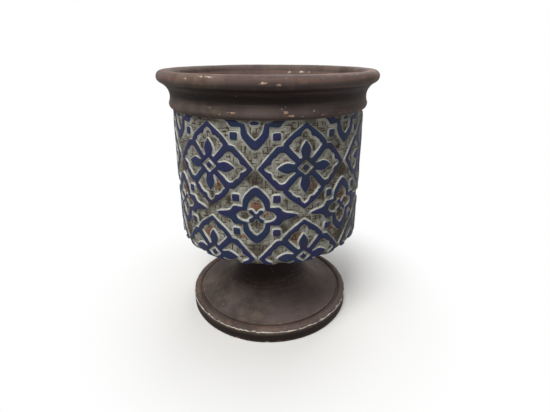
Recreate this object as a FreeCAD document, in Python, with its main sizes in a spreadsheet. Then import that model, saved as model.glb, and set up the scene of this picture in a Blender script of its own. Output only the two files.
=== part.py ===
"""Footed clay planter: a round pot with a moulded rim, lifted onto a low trumpet-shaped stand.

Every piece is turned about the Z axis: a half-section is drawn with X as the distance from the
axis and Z as the height above the piece's own base, and revolved through a full turn. The
piece's Placement then carries it to its height in the whole object. The origin is the centre of
the underside of the stand's foot, +Z is up, and lengths are millimetres.
"""
import FreeCAD, Part
import math
import os

import Sketcher

# Driving dimensions: name, millimetres, what it measures.
SIZES = [
    # stand, from the floor up
    ("stand_height", 128.0, "floor to the face that carries the pot"),
    ("foot_radius", 140.5, "outside of the disc foot"),
    ("foot_height", 20.5, "floor to the flat ledge on top of the foot"),
    ("foot_heel", 1.5, "chamfer round the foot's lower edge"),
    ("foot_ledge", 1.2, "flat ledge between the foot's edge and its bead"),
    ("foot_bead_width", 11.2, "width of the low bead round the top of the foot"),
    ("foot_bead_height", 3.2, "height of that bead above the ledge"),
    ("foot_groove", 2.6, "groove between that bead and the stem"),
    ("foot_bore", 112.0, "radius of the opening under the foot"),
    ("socket_depth", 10.5, "how far the stem is let into the foot"),
    ("joint_gap", 0.4, "radial slack where one piece is let into another"),
    ("stem_shoulder", 3.0, "how far above the foot's ledge the stem's sweep starts"),
    ("stem_shelf", 12.5, "width of the stem's lower face"),
    ("stem_wall", 11.0, "wall of the stem at its waist"),
    ("waist_radius", 50.0, "outside of the stem at its narrowest"),
    ("cap_flare", 14.0, "height and reach of the small flare under the seat"),
    ("seat_thickness", 14.0, "plate that carries the pot"),
    ("seat_edge", 6.0, "rounding of the seat's lower edge"),
    ("seat_opening", 22.0, "radius of the drain opening in the seat"),
    ("seat_lip_height", 5.0, "lip that keeps the pot from sliding off"),
    ("seat_lip_width", 6.0, "thickness of that lip"),
    ("lift_gap", 0.6, "radial slack between the lip and the pot's foot ring"),
    # pot, from its own foot ring up
    ("pot_height", 272.0, "underside of the foot ring to the crest of the rim"),
    ("ring_radius", 70.0, "outside of the foot ring"),
    ("ring_width", 12.0, "thickness of the foot ring"),
    ("ring_height", 14.0, "height of the foot ring"),
    ("ring_chamfer", 2.0, "chamfer on the foot ring's lower edges"),
    ("wall_top_radius", 144.4, "outside of the wall under the rim"),
    ("wall_low_radius", 147.4, "outside of the wall at the bottom, before the turn is rounded"),
    ("wall_swell", 1.1, "how far the middle of the wall stands out past a straight line"),
    ("pot_bore", 132.0, "radius of the inside of the pot"),
    ("corner_radius", 8.0, "turn from the wall to the underside"),
    ("corner_rise", 4.0, "how far the turn ends above the middle of the underside"),
    ("lip_opening", 112.0, "radius of the opening in the wall's turned-in lip"),
    ("lip_thickness", 8.0, "thickness of that lip at its opening"),
    ("rebate_width", 11.0, "width of the step on which the floor lies"),
    ("flange_thickness", 8.0, "thickness of the floor's flange"),
    ("inner_turn", 8.0, "inside turn from the wall to the floor"),
    ("drain_radius", 12.0, "drain hole in the middle of the floor"),
    ("relief_depth", 2.5, "how far the fields of the tile pattern lie below its raised bands"),
    # rim
    ("rim_height", 52.0, "top of the wall to the crest of the rim"),
    ("rim_radius", 163.0, "outside of the rolled rim, the widest of the object"),
    ("roll_radius", 8.4, "section radius of the roll"),
    ("roll_width", 21.0, "width of the roll across its crest"),
    ("flare_depth", 28.0, "how far below the crest the inside flare starts"),
    ("bead_reach", 149.1, "outside of the bead under the neck"),
    ("bead_radius", 7.0, "section radius of that bead"),
    ("bead_rise", 6.3, "height of the bead's middle above the top of the wall"),
    ("cove_radius", 20.8, "section radius of the hollow neck between roll and bead"),
]

FULL_TURN = 360.0
SAME_PLACE = 0.01
BASE = "0"

# The tile pattern: stars and rosettes in turn, seven of each round the pot, the rows staggered.
TILES_ROUND = 7
TILE_TURN = FULL_TURN / TILES_ROUND
FIRST_STAR_AT = -5.8

# The tile is drawn 131.5 wide, one seventh of the wall, and 206 high, the wall's full height.
TILE_WIDTH = 131.5
TILE_HEIGHT = 206.0
ROSETTE_ROWS = (16.0, 146.0)
STAR_ROWS = (81.0, 211.0)
LOWEST_FIELD, HIGHEST_FIELD = 8.0, 204.5

# Sunken fields, each from the middle of its own motif. A leaf reaches into each rosette field.
UPPER_FIELD = [(0, 50), (19, 34), (23, 28.5), (8.4, 12), (5.4, 12), (7.2, 22), (0, 35.5)]
RIGHT_FIELD = [(55, 0), (36, 19.5), (29, 20.5), (13.4, 5.5), (24, 6.9), (38, 0)]
STAR_FIELD = [(0, 29), (11, 16), (12.3, 8.8), (22, 6.8), (27.5, 0)]
# Between a star and the rosette to its upper right, with a small square left standing in it.
BETWEEN_FIELD = [(-1, 65.5), (2.7, 65.5), (24.7, 40), (27.7, 37), (36, 35.6), (38.7, 30),
                 (57.7, 13.5), (66.5, 7), (66.5, -1), (56, -1), (40, 5), (31, 13.3),
                 (18.5, 12.8), (18.2, 18), (10, 33.5), (0, 41), (-1, 41)]
BETWEEN_SQUARE = [(22.7, 19.7), (32.3, 19.7), (32.3, 29.3), (22.7, 29.3)]
BETWEEN_MIDDLE = TILE_WIDTH / 4

doc = FreeCAD.newDocument("jardiniere")
sheet = doc.addObject("Spreadsheet::Sheet", "Sizes")
for row, (alias, size, meaning) in enumerate(SIZES, start=1):
    sheet.set(f"A{row}", meaning)
    sheet.set(f"B{row}", str(size))
    sheet.setAlias(f"B{row}", alias)
doc.recompute()

# Radii and heights that several pieces share, as expressions of the sheet.
STEM_BASE = ("(Sizes.foot_radius - Sizes.foot_ledge - Sizes.foot_bead_width"
             " - Sizes.foot_groove - Sizes.joint_gap)")
SOCKET_FLOOR = "(Sizes.foot_height - Sizes.socket_depth)"
SEAT_BASE = "(Sizes.stand_height - Sizes.seat_thickness)"
UNDERSIDE = "(Sizes.stand_height + Sizes.ring_height)"
WALL_HEIGHT = "(Sizes.pot_height - Sizes.rim_height - Sizes.ring_height)"
REBATE_RADIUS = "(Sizes.lip_opening + Sizes.rebate_width)"
FLOOR_TOP = "(Sizes.lip_thickness + Sizes.flange_thickness)"
SEAT_RADIUS = "(Sizes.ring_radius + Sizes.lift_gap + Sizes.seat_lip_width)"

# The clay behind the fields ends between these heights, clear of the turn and of the top face.
CORE_FOOT = "(Sizes.corner_rise + 0.4 * Sizes.corner_radius)"
CORE_CREST = f"({WALL_HEIGHT} - 0.4 * Sizes.relief_depth)"
# The blocks that press the fields reach from just outside the bore to well outside the wall.
BLOCK_START = "(Sizes.pot_bore + 0.12 * Sizes.relief_depth)"
BLOCK_END = "(Sizes.wall_low_radius + 2 * Sizes.relief_depth)"


class Guess(str):
    """A coordinate that the rest of the outline fixes, given only for the curve to start from."""


class Section:
    """A closed half-section, drawn point by point and dimensioned from the axis and the base."""

    START, END, CENTRE = 1, 2, 3
    X_AXIS = -1
    ORIGIN = (-1, 1)

    def __init__(self, body):
        plane = next(f for f in body.Origin.OriginFeatures if f.Role == "XZ_Plane")
        self.sketch = body.newObject("Sketcher::SketchObject", f"{body.Name}_section")
        self.sketch.AttachmentSupport = (plane, "")
        self.sketch.MapMode = "FlatFace"
        self.opening = None
        self.point = None
        self.first = None
        self.last = None

    @staticmethod
    def vector(r, z):
        """The point that two expressions give now."""
        return FreeCAD.Vector(float(sheet.evalExpression(r)), float(sheet.evalExpression(z)), 0)

    def bind(self, kind, *where, to):
        """Adds one dimension and ties it to the sheet."""
        index = self.sketch.addConstraint(
            Sketcher.Constraint(kind, *where, float(sheet.evalExpression(to))))
        self.sketch.setExpression(f"Constraints[{index}]", to)

    def locate(self, curve, corner, r, z):
        """Dimensions a point from the axis and the base, apart from what is only a guess."""
        if not isinstance(r, Guess):
            self.bind("DistanceX", *self.ORIGIN, curve, corner, to=r)
        if z == BASE:
            self.sketch.addConstraint(
                Sketcher.Constraint("PointOnObject", curve, corner, self.X_AXIS))
        elif not isinstance(z, Guess):
            self.bind("DistanceY", *self.ORIGIN, curve, corner, to=z)

    def begin(self, r, z):
        """Sets the point where the outline starts."""
        self.opening = (r, z)
        self.point = self.vector(r, z)

    def extend(self, shape, start, end, r, z, smooth=False):
        """Adds a curve from the last point, tangent to the curve before it where that is smooth."""
        curve = self.sketch.addGeometry(shape, False)
        if self.last is None:
            self.first = (curve, start)
            self.locate(curve, start, *self.opening)
        else:
            joint = "Tangent" if smooth else "Coincident"
            self.sketch.addConstraint(Sketcher.Constraint(joint, *self.last, curve, start))
        self.locate(curve, end, r, z)
        self.last = (curve, end)
        self.point = self.vector(r, z)
        return curve

    def line(self, r, z):
        """A straight run to a point."""
        return self.extend(
            Part.LineSegment(self.point, self.vector(r, z)), self.START, self.END, r, z)

    def arc(self, r, z, centre_r, centre_z, radius=None, clockwise=False, smooth=False):
        """A round run to a point; what isn't dimensioned follows from the rest."""
        centre = self.vector(centre_r, centre_z)
        here = self.point - centre
        there = self.vector(r, z) - centre
        angles = [math.atan2(here.y, here.x), math.atan2(there.y, there.x)]
        ends = [self.START, self.END]
        if clockwise:
            angles.reverse()
            ends.reverse()
        circle = Part.Circle(centre, FreeCAD.Vector(0, 0, 1), here.Length)
        curve = self.extend(Part.ArcOfCircle(circle, *angles), *ends, r, z, smooth)
        self.locate(curve, self.CENTRE, centre_r, centre_z)
        if radius is not None:
            self.bind("Radius", curve, to=radius)
        return curve

    def close(self):
        """Joins the last point to the first with a straight run."""
        shape = Part.LineSegment(self.point, self.vector(*self.opening))
        curve = self.sketch.addGeometry(shape, False)
        self.sketch.addConstraint(
            Sketcher.Constraint("Coincident", *self.last, curve, self.START))
        self.sketch.addConstraint(
            Sketcher.Constraint("Coincident", curve, self.END, *self.first))


def turned_piece(label, base, draw):
    """A piece revolved from the section that draw makes, with its base at a given height."""
    body = doc.addObject("PartDesign::Body", label)
    body.Label = label
    body.setExpression("Placement.Base.z", base)
    section = Section(body)
    draw(section)
    revolution = body.newObject("PartDesign::Revolution", f"{label}_turned")
    revolution.Profile = section.sketch
    revolution.ReferenceAxis = (section.sketch, ["V_Axis"])
    revolution.Angle = FULL_TURN
    section.sketch.Visibility = False
    doc.recompute()
    return body


def round_edge(body, r, z, radius):
    """Rounds the circular edge of a turned piece that runs through a point of its section."""
    corner = Section.vector(r, z)
    base = body.Tip
    names = []
    for number, edge in enumerate(base.Shape.Edges, start=1):
        spot = edge.Vertexes[0].Point
        offset = FreeCAD.Vector(math.hypot(spot.x, spot.y), spot.z, 0) - corner
        if edge.Closed and offset.Length < SAME_PLACE:
            names.append(f"Edge{number}")
    fillet = body.newObject("PartDesign::Fillet", f"{body.Name}_round")
    fillet.Base = (base, names)
    fillet.setExpression("Radius", radius)
    doc.recompute()


def upright_centre(upright, other):
    """Where the centre of an arc lies across, when the arc runs straight up at one of its ends."""
    turn = Section.vector(*upright)
    chord = Section.vector(*other) - turn
    return Guess(turn.x + (chord.x ** 2 + chord.y ** 2) / (2 * chord.x))


def centre_within(start, end, radius):
    """Where the centre of a low arc lies, to the left of its chord."""
    begin = Section.vector(*start)
    chord = Section.vector(*end) - begin
    inward = FreeCAD.Vector(-chord.y, chord.x, 0) / chord.Length
    depth = math.sqrt(sheet.evalExpression(radius) ** 2 - chord.Length ** 2 / 4)
    centre = begin + chord / 2 + inward * depth
    return Guess(centre.x), Guess(centre.y)


# ---- stand ----------------------------------------------------------------------------------

def draw_foot(section):
    """Disc foot: a ring with a chamfered heel, a low bead on top and a socket for the stem."""
    outer = ("(Sizes.foot_radius - Sizes.foot_ledge)", "Sizes.foot_height")
    inner = (f"({outer[0]} - Sizes.foot_bead_width)", "Sizes.foot_height")
    bead_radius = ("((Sizes.foot_bead_width / 2) ^ 2 + Sizes.foot_bead_height ^ 2)"
                   " / (2 * Sizes.foot_bead_height)")
    section.begin("Sizes.foot_bore", BASE)
    section.line("Sizes.foot_radius - Sizes.foot_heel", BASE)
    section.line("Sizes.foot_radius", "Sizes.foot_heel")
    section.line("Sizes.foot_radius", "Sizes.foot_height")
    section.line(*outer)
    section.arc(*inner, *centre_within(outer, inner, bead_radius), radius=bead_radius)
    section.line(f"{STEM_BASE} + Sizes.joint_gap", "Sizes.foot_height")
    section.line(f"{STEM_BASE} + Sizes.joint_gap", SOCKET_FLOOR)
    section.line("Sizes.foot_bore", SOCKET_FLOOR)
    section.close()


def draw_stem(section):
    """Hollow trumpet: one long sweep up to the waist and a small flare under the seat."""
    top = f"({SEAT_BASE} - {SOCKET_FLOOR})"
    waist = f"({top} - Sizes.cap_flare)"
    outer_base = (STEM_BASE, "Sizes.socket_depth + Sizes.stem_shoulder")
    outer_waist = ("Sizes.waist_radius", waist)
    inner_waist = ("Sizes.waist_radius - Sizes.stem_wall", waist)
    inner_base = (f"{STEM_BASE} - Sizes.stem_shelf", BASE)
    cap = ("Sizes.waist_radius + Sizes.cap_flare", top)
    section.begin(STEM_BASE, BASE)
    section.line(*outer_base)
    section.arc(*outer_waist, upright_centre(outer_waist, outer_base), waist, clockwise=True)
    section.arc(*cap, upright_centre(outer_waist, cap), waist, clockwise=True)
    section.line("Sizes.waist_radius - Sizes.stem_wall", top)
    section.line(*inner_waist)
    section.arc(*inner_base, upright_centre(inner_waist, inner_base), waist)
    section.close()


def draw_seat(section):
    """Plate with a drain opening and a low lip round the place of the pot's foot ring."""
    lip_bore = "(Sizes.ring_radius + Sizes.lift_gap)"
    lip_top = "Sizes.seat_thickness + Sizes.seat_lip_height"
    section.begin("Sizes.seat_opening", BASE)
    section.line(SEAT_RADIUS, BASE)
    section.line(SEAT_RADIUS, lip_top)
    section.line(lip_bore, lip_top)
    section.line(lip_bore, "Sizes.seat_thickness")
    section.line("Sizes.seat_opening", "Sizes.seat_thickness")
    section.close()


# ---- pot ------------------------------------------------------------------------------------

def draw_foot_ring(section):
    """Plain ring under the pot, chamfered where it stands on the seat."""
    inside = "(Sizes.ring_radius - Sizes.ring_width)"
    section.begin(f"{inside} + Sizes.ring_chamfer", BASE)
    section.line("Sizes.ring_radius - Sizes.ring_chamfer", BASE)
    section.line("Sizes.ring_radius", "Sizes.ring_chamfer")
    section.line("Sizes.ring_radius", "Sizes.ring_height")
    section.line(inside, "Sizes.ring_height")
    section.line(inside, "Sizes.ring_chamfer")
    section.close()


def draw_floor(section):
    """Stepped disc with the drain hole: a plug fills the wall's opening, a flange lies on it."""
    plug = "(Sizes.lip_opening - Sizes.joint_gap)"
    flange = f"({REBATE_RADIUS} - Sizes.joint_gap)"
    section.begin("Sizes.drain_radius", BASE)
    section.line(plug, BASE)
    section.line(plug, "Sizes.lip_thickness")
    section.line(flange, "Sizes.lip_thickness")
    section.line(flange, FLOOR_TOP)
    section.line("Sizes.drain_radius", FLOOR_TOP)
    section.close()


def wall_side(inset="0"):
    """The wall's outer side from its lower end over its middle to its top, moved in."""
    low = (f"(Sizes.wall_low_radius - {inset})", "Sizes.corner_rise")
    top = (f"(Sizes.wall_top_radius - {inset})", WALL_HEIGHT)
    middle = (f"(({low[0]} + {top[0]}) / 2 + Sizes.wall_swell)",
              f"(({low[1]} + {top[1]}) / 2)")
    return low, middle, top


def draw_wall(section):
    """Slightly swelling wall, with a turned-in lip that is stepped for the floor."""
    section.begin("Sizes.lip_opening", BASE)
    for corner in wall_side():
        section.line(*corner)
    section.line("Sizes.pot_bore", WALL_HEIGHT)
    section.line("Sizes.pot_bore", FLOOR_TOP)
    section.line(REBATE_RADIUS, FLOOR_TOP)
    section.line(REBATE_RADIUS, "Sizes.lip_thickness")
    section.line("Sizes.lip_opening", "Sizes.lip_thickness")
    section.close()


def draw_rim(section):
    """Moulded rim: bead, hollow neck and roll run into each other, and the inside flares out."""
    bead = ("Sizes.bead_reach - Sizes.bead_radius", "Sizes.bead_rise")
    outer_roll = ("(Sizes.rim_radius - Sizes.roll_radius)", "(Sizes.rim_height - Sizes.roll_radius)")
    inner_roll = "(Sizes.rim_radius - Sizes.roll_width + Sizes.roll_radius)"
    cove = cove_centre(bead, outer_roll)
    below = between(bead, cove, "Sizes.bead_radius")
    above = between(outer_roll, cove, "Sizes.roll_radius")
    half_foot = "sqrt(Sizes.bead_radius ^ 2 - Sizes.bead_rise ^ 2)"
    section.begin(Guess(f"{bead[0]} + {half_foot}"), BASE)
    section.arc(*below, *bead, radius="Sizes.bead_radius")
    section.arc(*above, *cove, radius="Sizes.cove_radius", clockwise=True, smooth=True)
    section.arc(outer_roll[0], Guess("Sizes.rim_height"), *outer_roll,
                radius="Sizes.roll_radius", smooth=True)
    section.line(inner_roll, "Sizes.rim_height")
    section.arc("Sizes.rim_radius - Sizes.roll_width", outer_roll[1],
                inner_roll, Guess(outer_roll[1]))
    section.line("Sizes.pot_bore", "Sizes.rim_height - Sizes.flare_depth")
    section.line("Sizes.pot_bore", BASE)
    section.close()


def cove_centre(bead, roll):
    """Where the neck's centre is, outside both the bead and the roll and touching both."""
    low = Section.vector(*bead)
    span = Section.vector(*roll) - low
    to_bead = sheet.cove_radius + sheet.bead_radius
    to_roll = sheet.cove_radius + sheet.roll_radius
    along = (to_bead ** 2 - to_roll ** 2 + span.Length ** 2) / (2 * span.Length)
    aside = math.sqrt(to_bead ** 2 - along ** 2)
    unit = span / span.Length
    centre = low + unit * along + FreeCAD.Vector(unit.y, -unit.x, 0) * aside
    return Guess(centre.x), Guess(centre.y)


def between(circle, cove, radius):
    """Where a circle touches the neck's arc, on the line between their centres."""
    centre = Section.vector(*circle)
    ray = Section.vector(*cove) - centre
    touch = centre + ray / ray.Length * sheet.evalExpression(radius)
    return Guess(touch.x), Guess(touch.y)


# ---- tile pattern ---------------------------------------------------------------------------

def across(points):
    """The outline seen in a mirror that stands upright."""
    return [(-x, y) for x, y in points]


def over(points):
    """The outline upside down."""
    return [(x, -y) for x, y in points]


def whole(side, flip):
    """A closed outline from one side of it, whose ends lie on the line of symmetry."""
    return side + flip(side)[-2:0:-1]


def raised(points, height):
    """The outline moved up to its row, and cut off where the tile ends."""
    points = [(x, y + height) for x, y in points]
    for limit, keeps_above in ((LOWEST_FIELD, True), (HIGHEST_FIELD, False)):
        kept = []
        for (x1, y1), (x2, y2) in zip(points, points[1:] + points[:1]):
            if (y1 >= limit) == keeps_above or y1 == limit:
                kept.append((x1, y1))
            if (y1 - limit) * (y2 - limit) < 0:
                kept.append((x1 + (x2 - x1) * (limit - y1) / (y2 - y1), limit))
        points = kept
    return points


def tile_fields():
    """The fields of one seventh of the wall: turn from the first star, outline, squares in it."""
    quarter = STAR_FIELD + over(STAR_FIELD)[-2::-1]
    upper = whole(UPPER_FIELD, across)
    right = whole(RIGHT_FIELD, over)
    fields = [(0, raised(whole(quarter, across), row), []) for row in STAR_ROWS]
    fields += [(TILE_TURN / 2, raised(outline, row), []) for row in ROSETTE_ROWS
               for outline in (upper, over(upper), right, across(right))]
    for side, mirror in ((1, list), (-1, across)):
        for row in STAR_ROWS:
            for flip in (list, over):
                outline, square = (
                    raised(mirror(flip([(x - BETWEEN_MIDDLE, y) for x, y in points])), row)
                    for points in (BETWEEN_FIELD, BETWEEN_SQUARE))
                fields.append((side * TILE_TURN / 4, outline, [square] if square else []))
    return [field for field in fields if field[1]]


def value(expression):
    """The number that an expression gives now."""
    return float(sheet.evalExpression(expression))


def prism(points):
    """A straight-sided block through the wall at its front, over an outline of the tile."""
    start = value(BLOCK_START)
    radius = value("Sizes.wall_low_radius")
    height = value(WALL_HEIGHT)
    corners = []
    for x, y in points:
        turn = math.radians(x / TILE_WIDTH * TILE_TURN)
        corners.append(FreeCAD.Vector(radius * math.sin(turn), -start, y / TILE_HEIGHT * height))
    face = Part.Face(Part.makePolygon(corners + corners[:1]))
    return face.extrude(FreeCAD.Vector(0, start - value(BLOCK_END), 0))


def core():
    """Clay that stays behind the fields: as the wall, but thinner by the depth of the relief."""
    low, middle, top = (Section.vector(*corner) for corner in wall_side("Sizes.relief_depth"))
    foot = low + (middle - low) * (value(CORE_FOOT) - low.y) / (middle.y - low.y)
    crest = top + (middle - top) * (top.y - value(CORE_CREST)) / (top.y - middle.y)
    inside = value("Sizes.pot_bore / 2")
    section = [(inside, foot.y), (foot.x, foot.y), (middle.x, middle.y), (crest.x, crest.y),
               (inside, crest.y)]
    corners = [FreeCAD.Vector(r, 0, z) for r, z in section]
    face = Part.Face(Part.makePolygon(corners + corners[:1]))
    return face.revolve(FreeCAD.Vector(), FreeCAD.Vector(0, 0, 1), FULL_TURN)


def pressed_wall(label, turned):
    """The turned wall with the fields of the tile pattern sunk into it.

    The fields are cut with Part's own functions, because their floors follow the round wall,
    which a pocket with its flat floor doesn't.
    """
    behind = core()
    upright = FreeCAD.Vector(0, 0, 1)
    cuts = []
    for turn, outline, squares in tile_fields():
        field = prism(outline)
        for square in squares:
            field = field.cut(prism(square))
        field = field.cut(behind)
        for place in range(TILES_ROUND):
            copy = field.copy()
            copy.rotate(FreeCAD.Vector(), upright, FIRST_STAR_AT + turn + place * TILE_TURN)
            cuts.append(copy)
    blank = turned.Shape.copy()
    blank.Placement = FreeCAD.Placement()
    piece = doc.addObject("Part::Feature", label)
    piece.Label = label
    piece.Shape = blank.cut(cuts)
    piece.setExpression("Placement.Base.z", UNDERSIDE)
    turned.Visibility = False
    doc.recompute()
    return piece


# ---- assembly -------------------------------------------------------------------------------

stand_foot = turned_piece("stand_foot", BASE, draw_foot)
stand_stem = turned_piece("stand_stem", SOCKET_FLOOR, draw_stem)
stand_seat = turned_piece("stand_seat", SEAT_BASE, draw_seat)
round_edge(stand_seat, SEAT_RADIUS, BASE, "Sizes.seat_edge")

pot_foot_ring = turned_piece("pot_foot_ring", "Sizes.stand_height", draw_foot_ring)
pot_floor = turned_piece("pot_floor", UNDERSIDE, draw_floor)
plain_wall = turned_piece("plain_wall", UNDERSIDE, draw_wall)
round_edge(plain_wall, "Sizes.wall_low_radius", "Sizes.corner_rise", "Sizes.corner_radius")
round_edge(plain_wall, "Sizes.pot_bore", FLOOR_TOP, "Sizes.inner_turn")
pot_wall = pressed_wall("pot_wall", plain_wall)
pot_rim = turned_piece("pot_rim", f"{UNDERSIDE} + {WALL_HEIGHT}", draw_rim)

PIECES = [stand_foot, stand_stem, stand_seat, pot_foot_ring, pot_floor, pot_wall, pot_rim]

doc.recompute()
for item in doc.Objects:
    if "Invalid" in item.State or "Error" in item.State:
        raise RuntimeError(f"{item.Label} failed: {item.State}")
for piece in PIECES:
    if piece.Shape.isNull() or not piece.Shape.isValid():
        raise RuntimeError(f"{piece.Label} has no valid shape")

os.makedirs("parts", exist_ok=True)
for piece in PIECES:
    piece.Shape.exportStep(f"parts/{piece.Label}.step")
    box = piece.Shape.BoundBox
    print(f"{piece.Label:14s} z {box.ZMin:7.2f} to {box.ZMax:7.2f}  radius {box.XMax:7.2f}"
          f"  volume {piece.Shape.Volume / 1000:8.1f} cm3  solids {len(piece.Shape.Solids)}")
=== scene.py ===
# %% [markdown]
# # A moulded clay planter on its stand
#
# The real object is a low-fired clay pot about 33 cm across. Its wall is pressed with a tile
# pattern whose raised bands are painted blue, and its rolled rim and trumpet-shaped stand are
# covered with a thin dark brown wash. The CAD model gives the exact sections, and this script
# dresses them. The frame is loaded first.

import math

import bpy
import numpy as np
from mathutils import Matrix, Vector
from mathutils.geometry import delaunay_2d_cdt


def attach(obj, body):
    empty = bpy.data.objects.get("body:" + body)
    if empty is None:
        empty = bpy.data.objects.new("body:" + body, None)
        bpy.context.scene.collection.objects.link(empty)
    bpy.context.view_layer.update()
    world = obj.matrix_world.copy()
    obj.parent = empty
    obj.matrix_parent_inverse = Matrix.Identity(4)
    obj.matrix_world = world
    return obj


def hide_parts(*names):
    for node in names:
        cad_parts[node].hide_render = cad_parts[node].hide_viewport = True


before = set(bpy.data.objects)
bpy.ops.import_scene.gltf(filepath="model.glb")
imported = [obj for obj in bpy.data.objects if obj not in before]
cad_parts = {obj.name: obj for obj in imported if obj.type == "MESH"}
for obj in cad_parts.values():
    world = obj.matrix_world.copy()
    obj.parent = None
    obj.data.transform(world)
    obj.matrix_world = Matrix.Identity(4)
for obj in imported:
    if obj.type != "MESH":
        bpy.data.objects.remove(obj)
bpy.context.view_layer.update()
scene = bpy.context.scene
MM = 0.001

# %% [markdown]
# Colours are picked as a painter would name them, in sRGB hex. Blender's shaders work in linear
# light, so one function does the turning, and no colour is set in any other way.

# %% Colour helper
def linear(hex_colour):
    """An sRGB hex colour as linear RGBA."""
    values = [int(hex_colour[i:i + 2], 16) / 255 for i in (1, 3, 5)]
    return [v / 12.92 if v <= 0.04045 else ((v + 0.055) / 1.055) ** 2.4 for v in values] + [1.0]


# %% [markdown]
# Materials and Geometry Nodes are both graphs. One small helper adds a node, sets what is named
# and links what is given, so that a graph reads like a recipe. A socket is named by its label,
# or by its place as `i0`, `i1` and so on where a node has several of one name. Two settings come
# back in nearly every recipe, so they get names too.

# %% Node helper
def add_node(tree, kind, settings=None, **inputs):
    """Adds a node with its settings, values and links, and returns it."""
    node = tree.nodes.new(kind)
    for key, value in (settings or {}).items():
        setattr(node, key, value)
    for key, value in inputs.items():
        place = int(key[1:]) if key[0] == "i" and key[1:].isdigit() else key.replace("_", " ")
        socket = node.inputs[place]
        if isinstance(value, bpy.types.NodeSocket):
            tree.links.new(value, socket)
        else:
            socket.default_value = value
    return node


SMOOTH = {"interpolation_type": "SMOOTHSTEP"}
COLOURS = {"data_type": "RGBA"}

# %% [markdown]
# Every piece was turned on a wheel or pressed in a round mould, so each one is a section carried
# round an axis. The sections repeat the dimensions of the CAD model. A corner that a sponge or a
# thumb rounded is a point with a radius, and two functions turn arcs and corners to fine points.
# All outlines run clockwise: down the outside, in under the piece, and back up the inside.

# %% Section helpers, in millimetres
def arc_points(centre, start, end, clockwise=True, step=1.5):
    """Points along an arc about a centre, both ends included."""
    first = math.atan2(start[1] - centre[1], start[0] - centre[0])
    last = math.atan2(end[1] - centre[1], end[0] - centre[0])
    radius = math.dist(centre, start)
    turn = -((first - last) % math.tau) if clockwise else (last - first) % math.tau
    count = max(3, math.ceil(abs(turn) * radius / step))
    angles = [first + turn * i / count for i in range(count + 1)]
    return [(centre[0] + radius * math.cos(a), centre[1] + radius * math.sin(a)) for a in angles]


def rounded(corners, step=1.5):
    """A closed outline from corners (r, z) and (r, z, radius)."""
    outline = []
    for place, corner in enumerate(corners):
        if len(corner) == 2:
            outline.append(corner)
            continue
        here = Vector(corner[:2])
        before = (Vector(corners[place - 1][:2]) - here).normalized()
        after = (Vector(corners[(place + 1) % len(corners)][:2]) - here).normalized()
        half = before.angle(after) / 2
        centre = here + (before + after).normalized() * corner[2] / math.sin(half)
        reach = corner[2] / math.tan(half)
        turning = before.x * after.y - before.y * after.x
        outline += arc_points(centre, here + before * reach, here + after * reach,
                              clockwise=turning > 0, step=min(step, corner[2] / 3))
    return outline


def filled(outline, step):
    """The same closed outline with its long straight runs divided."""
    fine = []
    for place, here in enumerate(outline):
        there = outline[(place + 1) % len(outline)]
        count = max(1, math.ceil(math.dist(here, there) / step))
        fine += [(here[0] + (there[0] - here[0]) * i / count,
                  here[1] + (there[1] - here[1]) * i / count) for i in range(count)]
    return fine


# %% [markdown]
# The sections themselves, pot first. The wall stands out by a millimetre half-way up and turns
# in below, where the potter's floor disc is let into it. The rim is a bead, a hollow neck
# and a fat roll that run into each other, so its arcs share tangents: each one ends on the line
# between the two centres.

# %% Sections of the pot
POT_BASE, WALL_TOP, RIM_TOP = 142, 348, 400
BORE = 132

wall_section = rounded([
    (144.4, WALL_TOP), (147, 247), (147.4, 146, 8), (112, POT_BASE), (112, 150), (123, 150),
    (123, 158), (BORE, 158, 8), (BORE, WALL_TOP)])

bead, roll, inner_roll = Vector((142.1, 354.3)), Vector((154.6, 391.6)), Vector((150.4, 391.6))
BEAD_RADIUS, ROLL_RADIUS, NECK_RADIUS = 7, 8.4, 20.8
span = roll - bead
along = ((NECK_RADIUS + BEAD_RADIUS) ** 2 - (NECK_RADIUS + ROLL_RADIUS) ** 2
         + span.length_squared) / (2 * span.length)
aside = math.sqrt((NECK_RADIUS + BEAD_RADIUS) ** 2 - along ** 2)
unit = span.normalized()
neck = bead + unit * along + Vector((unit.y, -unit.x)) * aside
roll_end = roll + (neck - roll).normalized() * ROLL_RADIUS
bead_top = bead + (neck - bead).normalized() * BEAD_RADIUS
bead_foot = (bead.x + math.sqrt(BEAD_RADIUS ** 2 - (bead.y - WALL_TOP) ** 2), WALL_TOP)
rim_section = (
    arc_points(roll, (roll.x, RIM_TOP), roll_end)
    + arc_points(neck, roll_end, bead_top, clockwise=False)[1:]
    + arc_points(bead, bead_top, bead_foot)[1:]
    + [(BORE, WALL_TOP), (BORE, 372)]
    + arc_points(inner_roll, (142, inner_roll.y), (inner_roll.x, RIM_TOP)))

floor_section = rounded([
    (12, 158, 1.5), (122.6, 158), (122.6, 150), (111.6, 150), (111.6, POT_BASE),
    (12, POT_BASE, 1.5)])
ring_section = rounded([
    (70, POT_BASE), (70, 130, 1.2), (68, 128, 0.8), (60, 128, 0.8), (58, 130, 1.2),
    (58, POT_BASE)])
print("neck centre", [round(v, 2) for v in neck], "bead foot", round(bead_foot[0], 2))

# %% [markdown]
# The stand: a seat with a low lip that keeps the pot from sliding, a hollow stem that sweeps out
# like the bell of a trumpet, and a disc foot with a low bead and a groove into which the stem is
# let.

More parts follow.
